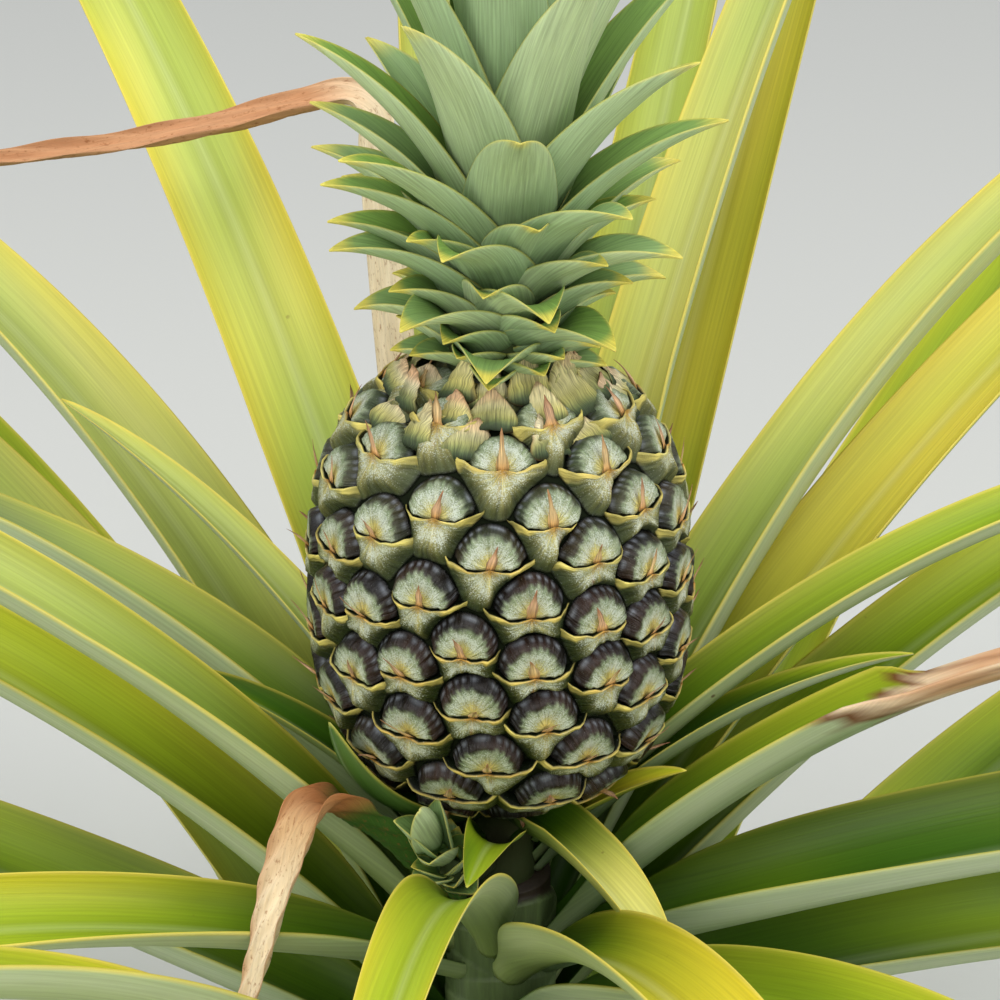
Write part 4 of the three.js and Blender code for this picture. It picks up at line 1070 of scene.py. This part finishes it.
# Young shoot
# A small leafy shoot on a twig that bends up from the fruit stalk, with the crown's leaves
# in small. It is young living tissue, and could grow into a plant of its own.
SHOOT = dict(turn=60, count=9, foot=7, top=2.5, height=26, shortest=12, longest=28, width=17,
             fold=60, foot_pitch=42, tip_pitch=30, scales=6, skirt=0, extra=[])
SHOOT_AZIMUTH, SHOOT_HEIGHT, SHOOT_REACH, SHOOT_LEAN, SHOOT_THICK = -117, 259, 32, 38, 1.0
TWIG_R, TWIG_SWELL, TWIG_RISE = 4.2, 2.2, 5


def turned(points, angle):
    """Points turned about the stem's axis."""
    c, s = math.cos(math.radians(angle)), math.sin(math.radians(angle))
    x, y, z = points.T
    return np.stack([x * c - y * s, x * s + y * c, z], 1)


points, faces, attributes = tuft(SHOOT, SHOOT_THICK, 11, 16)
points = leaned(points, SHOOT_LEAN, [SHOOT_REACH, 0, SHOOT_HEIGHT + TWIG_RISE])
make_piece("shoot_leaves", turned(points, SHOOT_AZIMUTH), faces, crown_skin, "young_shoot",
           attributes)

# The twig's line rises as the cube of the way out, and its upright rings swell at its end.
sides, rings = 20, 16
t = np.linspace(0, 1, rings)[:, None]
ring = np.linspace(0, 2 * np.pi, sides, endpoint=False)
twig_r = TWIG_R + TWIG_SWELL * smooth((t - 0.6) / 0.4) * (1 - 0.5 * smooth((t - 0.9) / 0.1))
points = np.stack([STALK_R - 1 + (SHOOT_REACH - STALK_R + 3) * t + 0 * ring, twig_r * np.cos(ring),
                   SHOOT_HEIGHT + t + TWIG_RISE * t ** 3 + twig_r * np.sin(ring)], -1).reshape(-1, 3)
make_piece("shoot_twig", turned(points, SHOOT_AZIMUTH), capped_rings(rings, sides), stem_bark,
           "young_shoot")


# Floor, light and camera
# A flat pale floor under the plant, soft light from above and both sides, and the camera at
# the height and distance that the rows of fruitlets give.
FLOOR_HALF, FLOOR_DEPTH, PLANT_MIDDLE = 30.0, 0.0005, (0, 0, 0.35)  # metres
floor_mesh = bpy.data.meshes.new("pale_floor")
corners = [(x * FLOOR_HALF, y * FLOOR_HALF, -FLOOR_DEPTH) for x, y in ((-1, -1), (1, -1), (1, 1), (-1, 1))]
floor_mesh.from_pydata(corners, [], [[0, 1, 2, 3]])
floor = bpy.data.objects.new("pale_floor", floor_mesh)
bpy.context.scene.collection.objects.link(floor)
floor_paint, tree, shader = new_material("matt pale studio floor")
# Matt paint, evenly pale, so that only the plant's soft shadow shows on it.
shader.inputs["Base Color"].default_value = tone("#D9D9D4")
shader.inputs["Roughness"].default_value = 0.9
floor_mesh.materials.append(floor_paint)


def lamp(name, at, size, power):
    """A square white lamp at a place in metres, facing the plant's middle."""
    data = bpy.data.lights.new(name, "AREA")
    data.size, data.energy = size, power
    made = bpy.data.objects.new(name, data)
    made.location = at
    made.rotation_euler = (Vector(PLANT_MIDDLE) - Vector(at)).to_track_quat("-Z", "Y").to_euler()
    bpy.context.scene.collection.objects.link(made)


lamp("sky_lamp", (0.3, -0.6, 2.6), 2.2, 46)
lamp("left_lamp", (-2.2, -1.4, 1.6), 1.6, 25)
lamp("right_lamp", (2.3, -1.0, 1.3), 1.6, 20)
lamp("front_lamp", (-0.4, -2.3, 1.5), 1.4, 14)
world = bpy.data.worlds.new("soft_daylight")
world.use_nodes = True
world.node_tree.nodes["Background"].inputs["Color"].default_value = tone("#EEF2F5")
world.node_tree.nodes["Background"].inputs["Strength"].default_value = 0.55
bpy.context.scene.world = world

ELEVATION, DISTANCE, LOOK_AT, HALF_VIEW = math.radians(24), 1.25, 0.389, math.radians(7.5)
camera_data = bpy.data.cameras.new("camera")
camera_data.sensor_width = 36
camera_data.lens = camera_data.sensor_width / 2 / math.tan(HALF_VIEW)
camera_data.clip_start, camera_data.clip_end = 0.05, 50
camera = bpy.data.objects.new("camera", camera_data)
camera.location = (0, -DISTANCE * math.cos(ELEVATION), LOOK_AT + DISTANCE * math.sin(ELEVATION))
camera.rotation_euler = (math.pi / 2 - ELEVATION, 0, 0)
bpy.context.scene.collection.objects.link(camera)
bpy.context.scene.camera = camera
bpy.context.scene.view_settings.view_transform = "Standard"
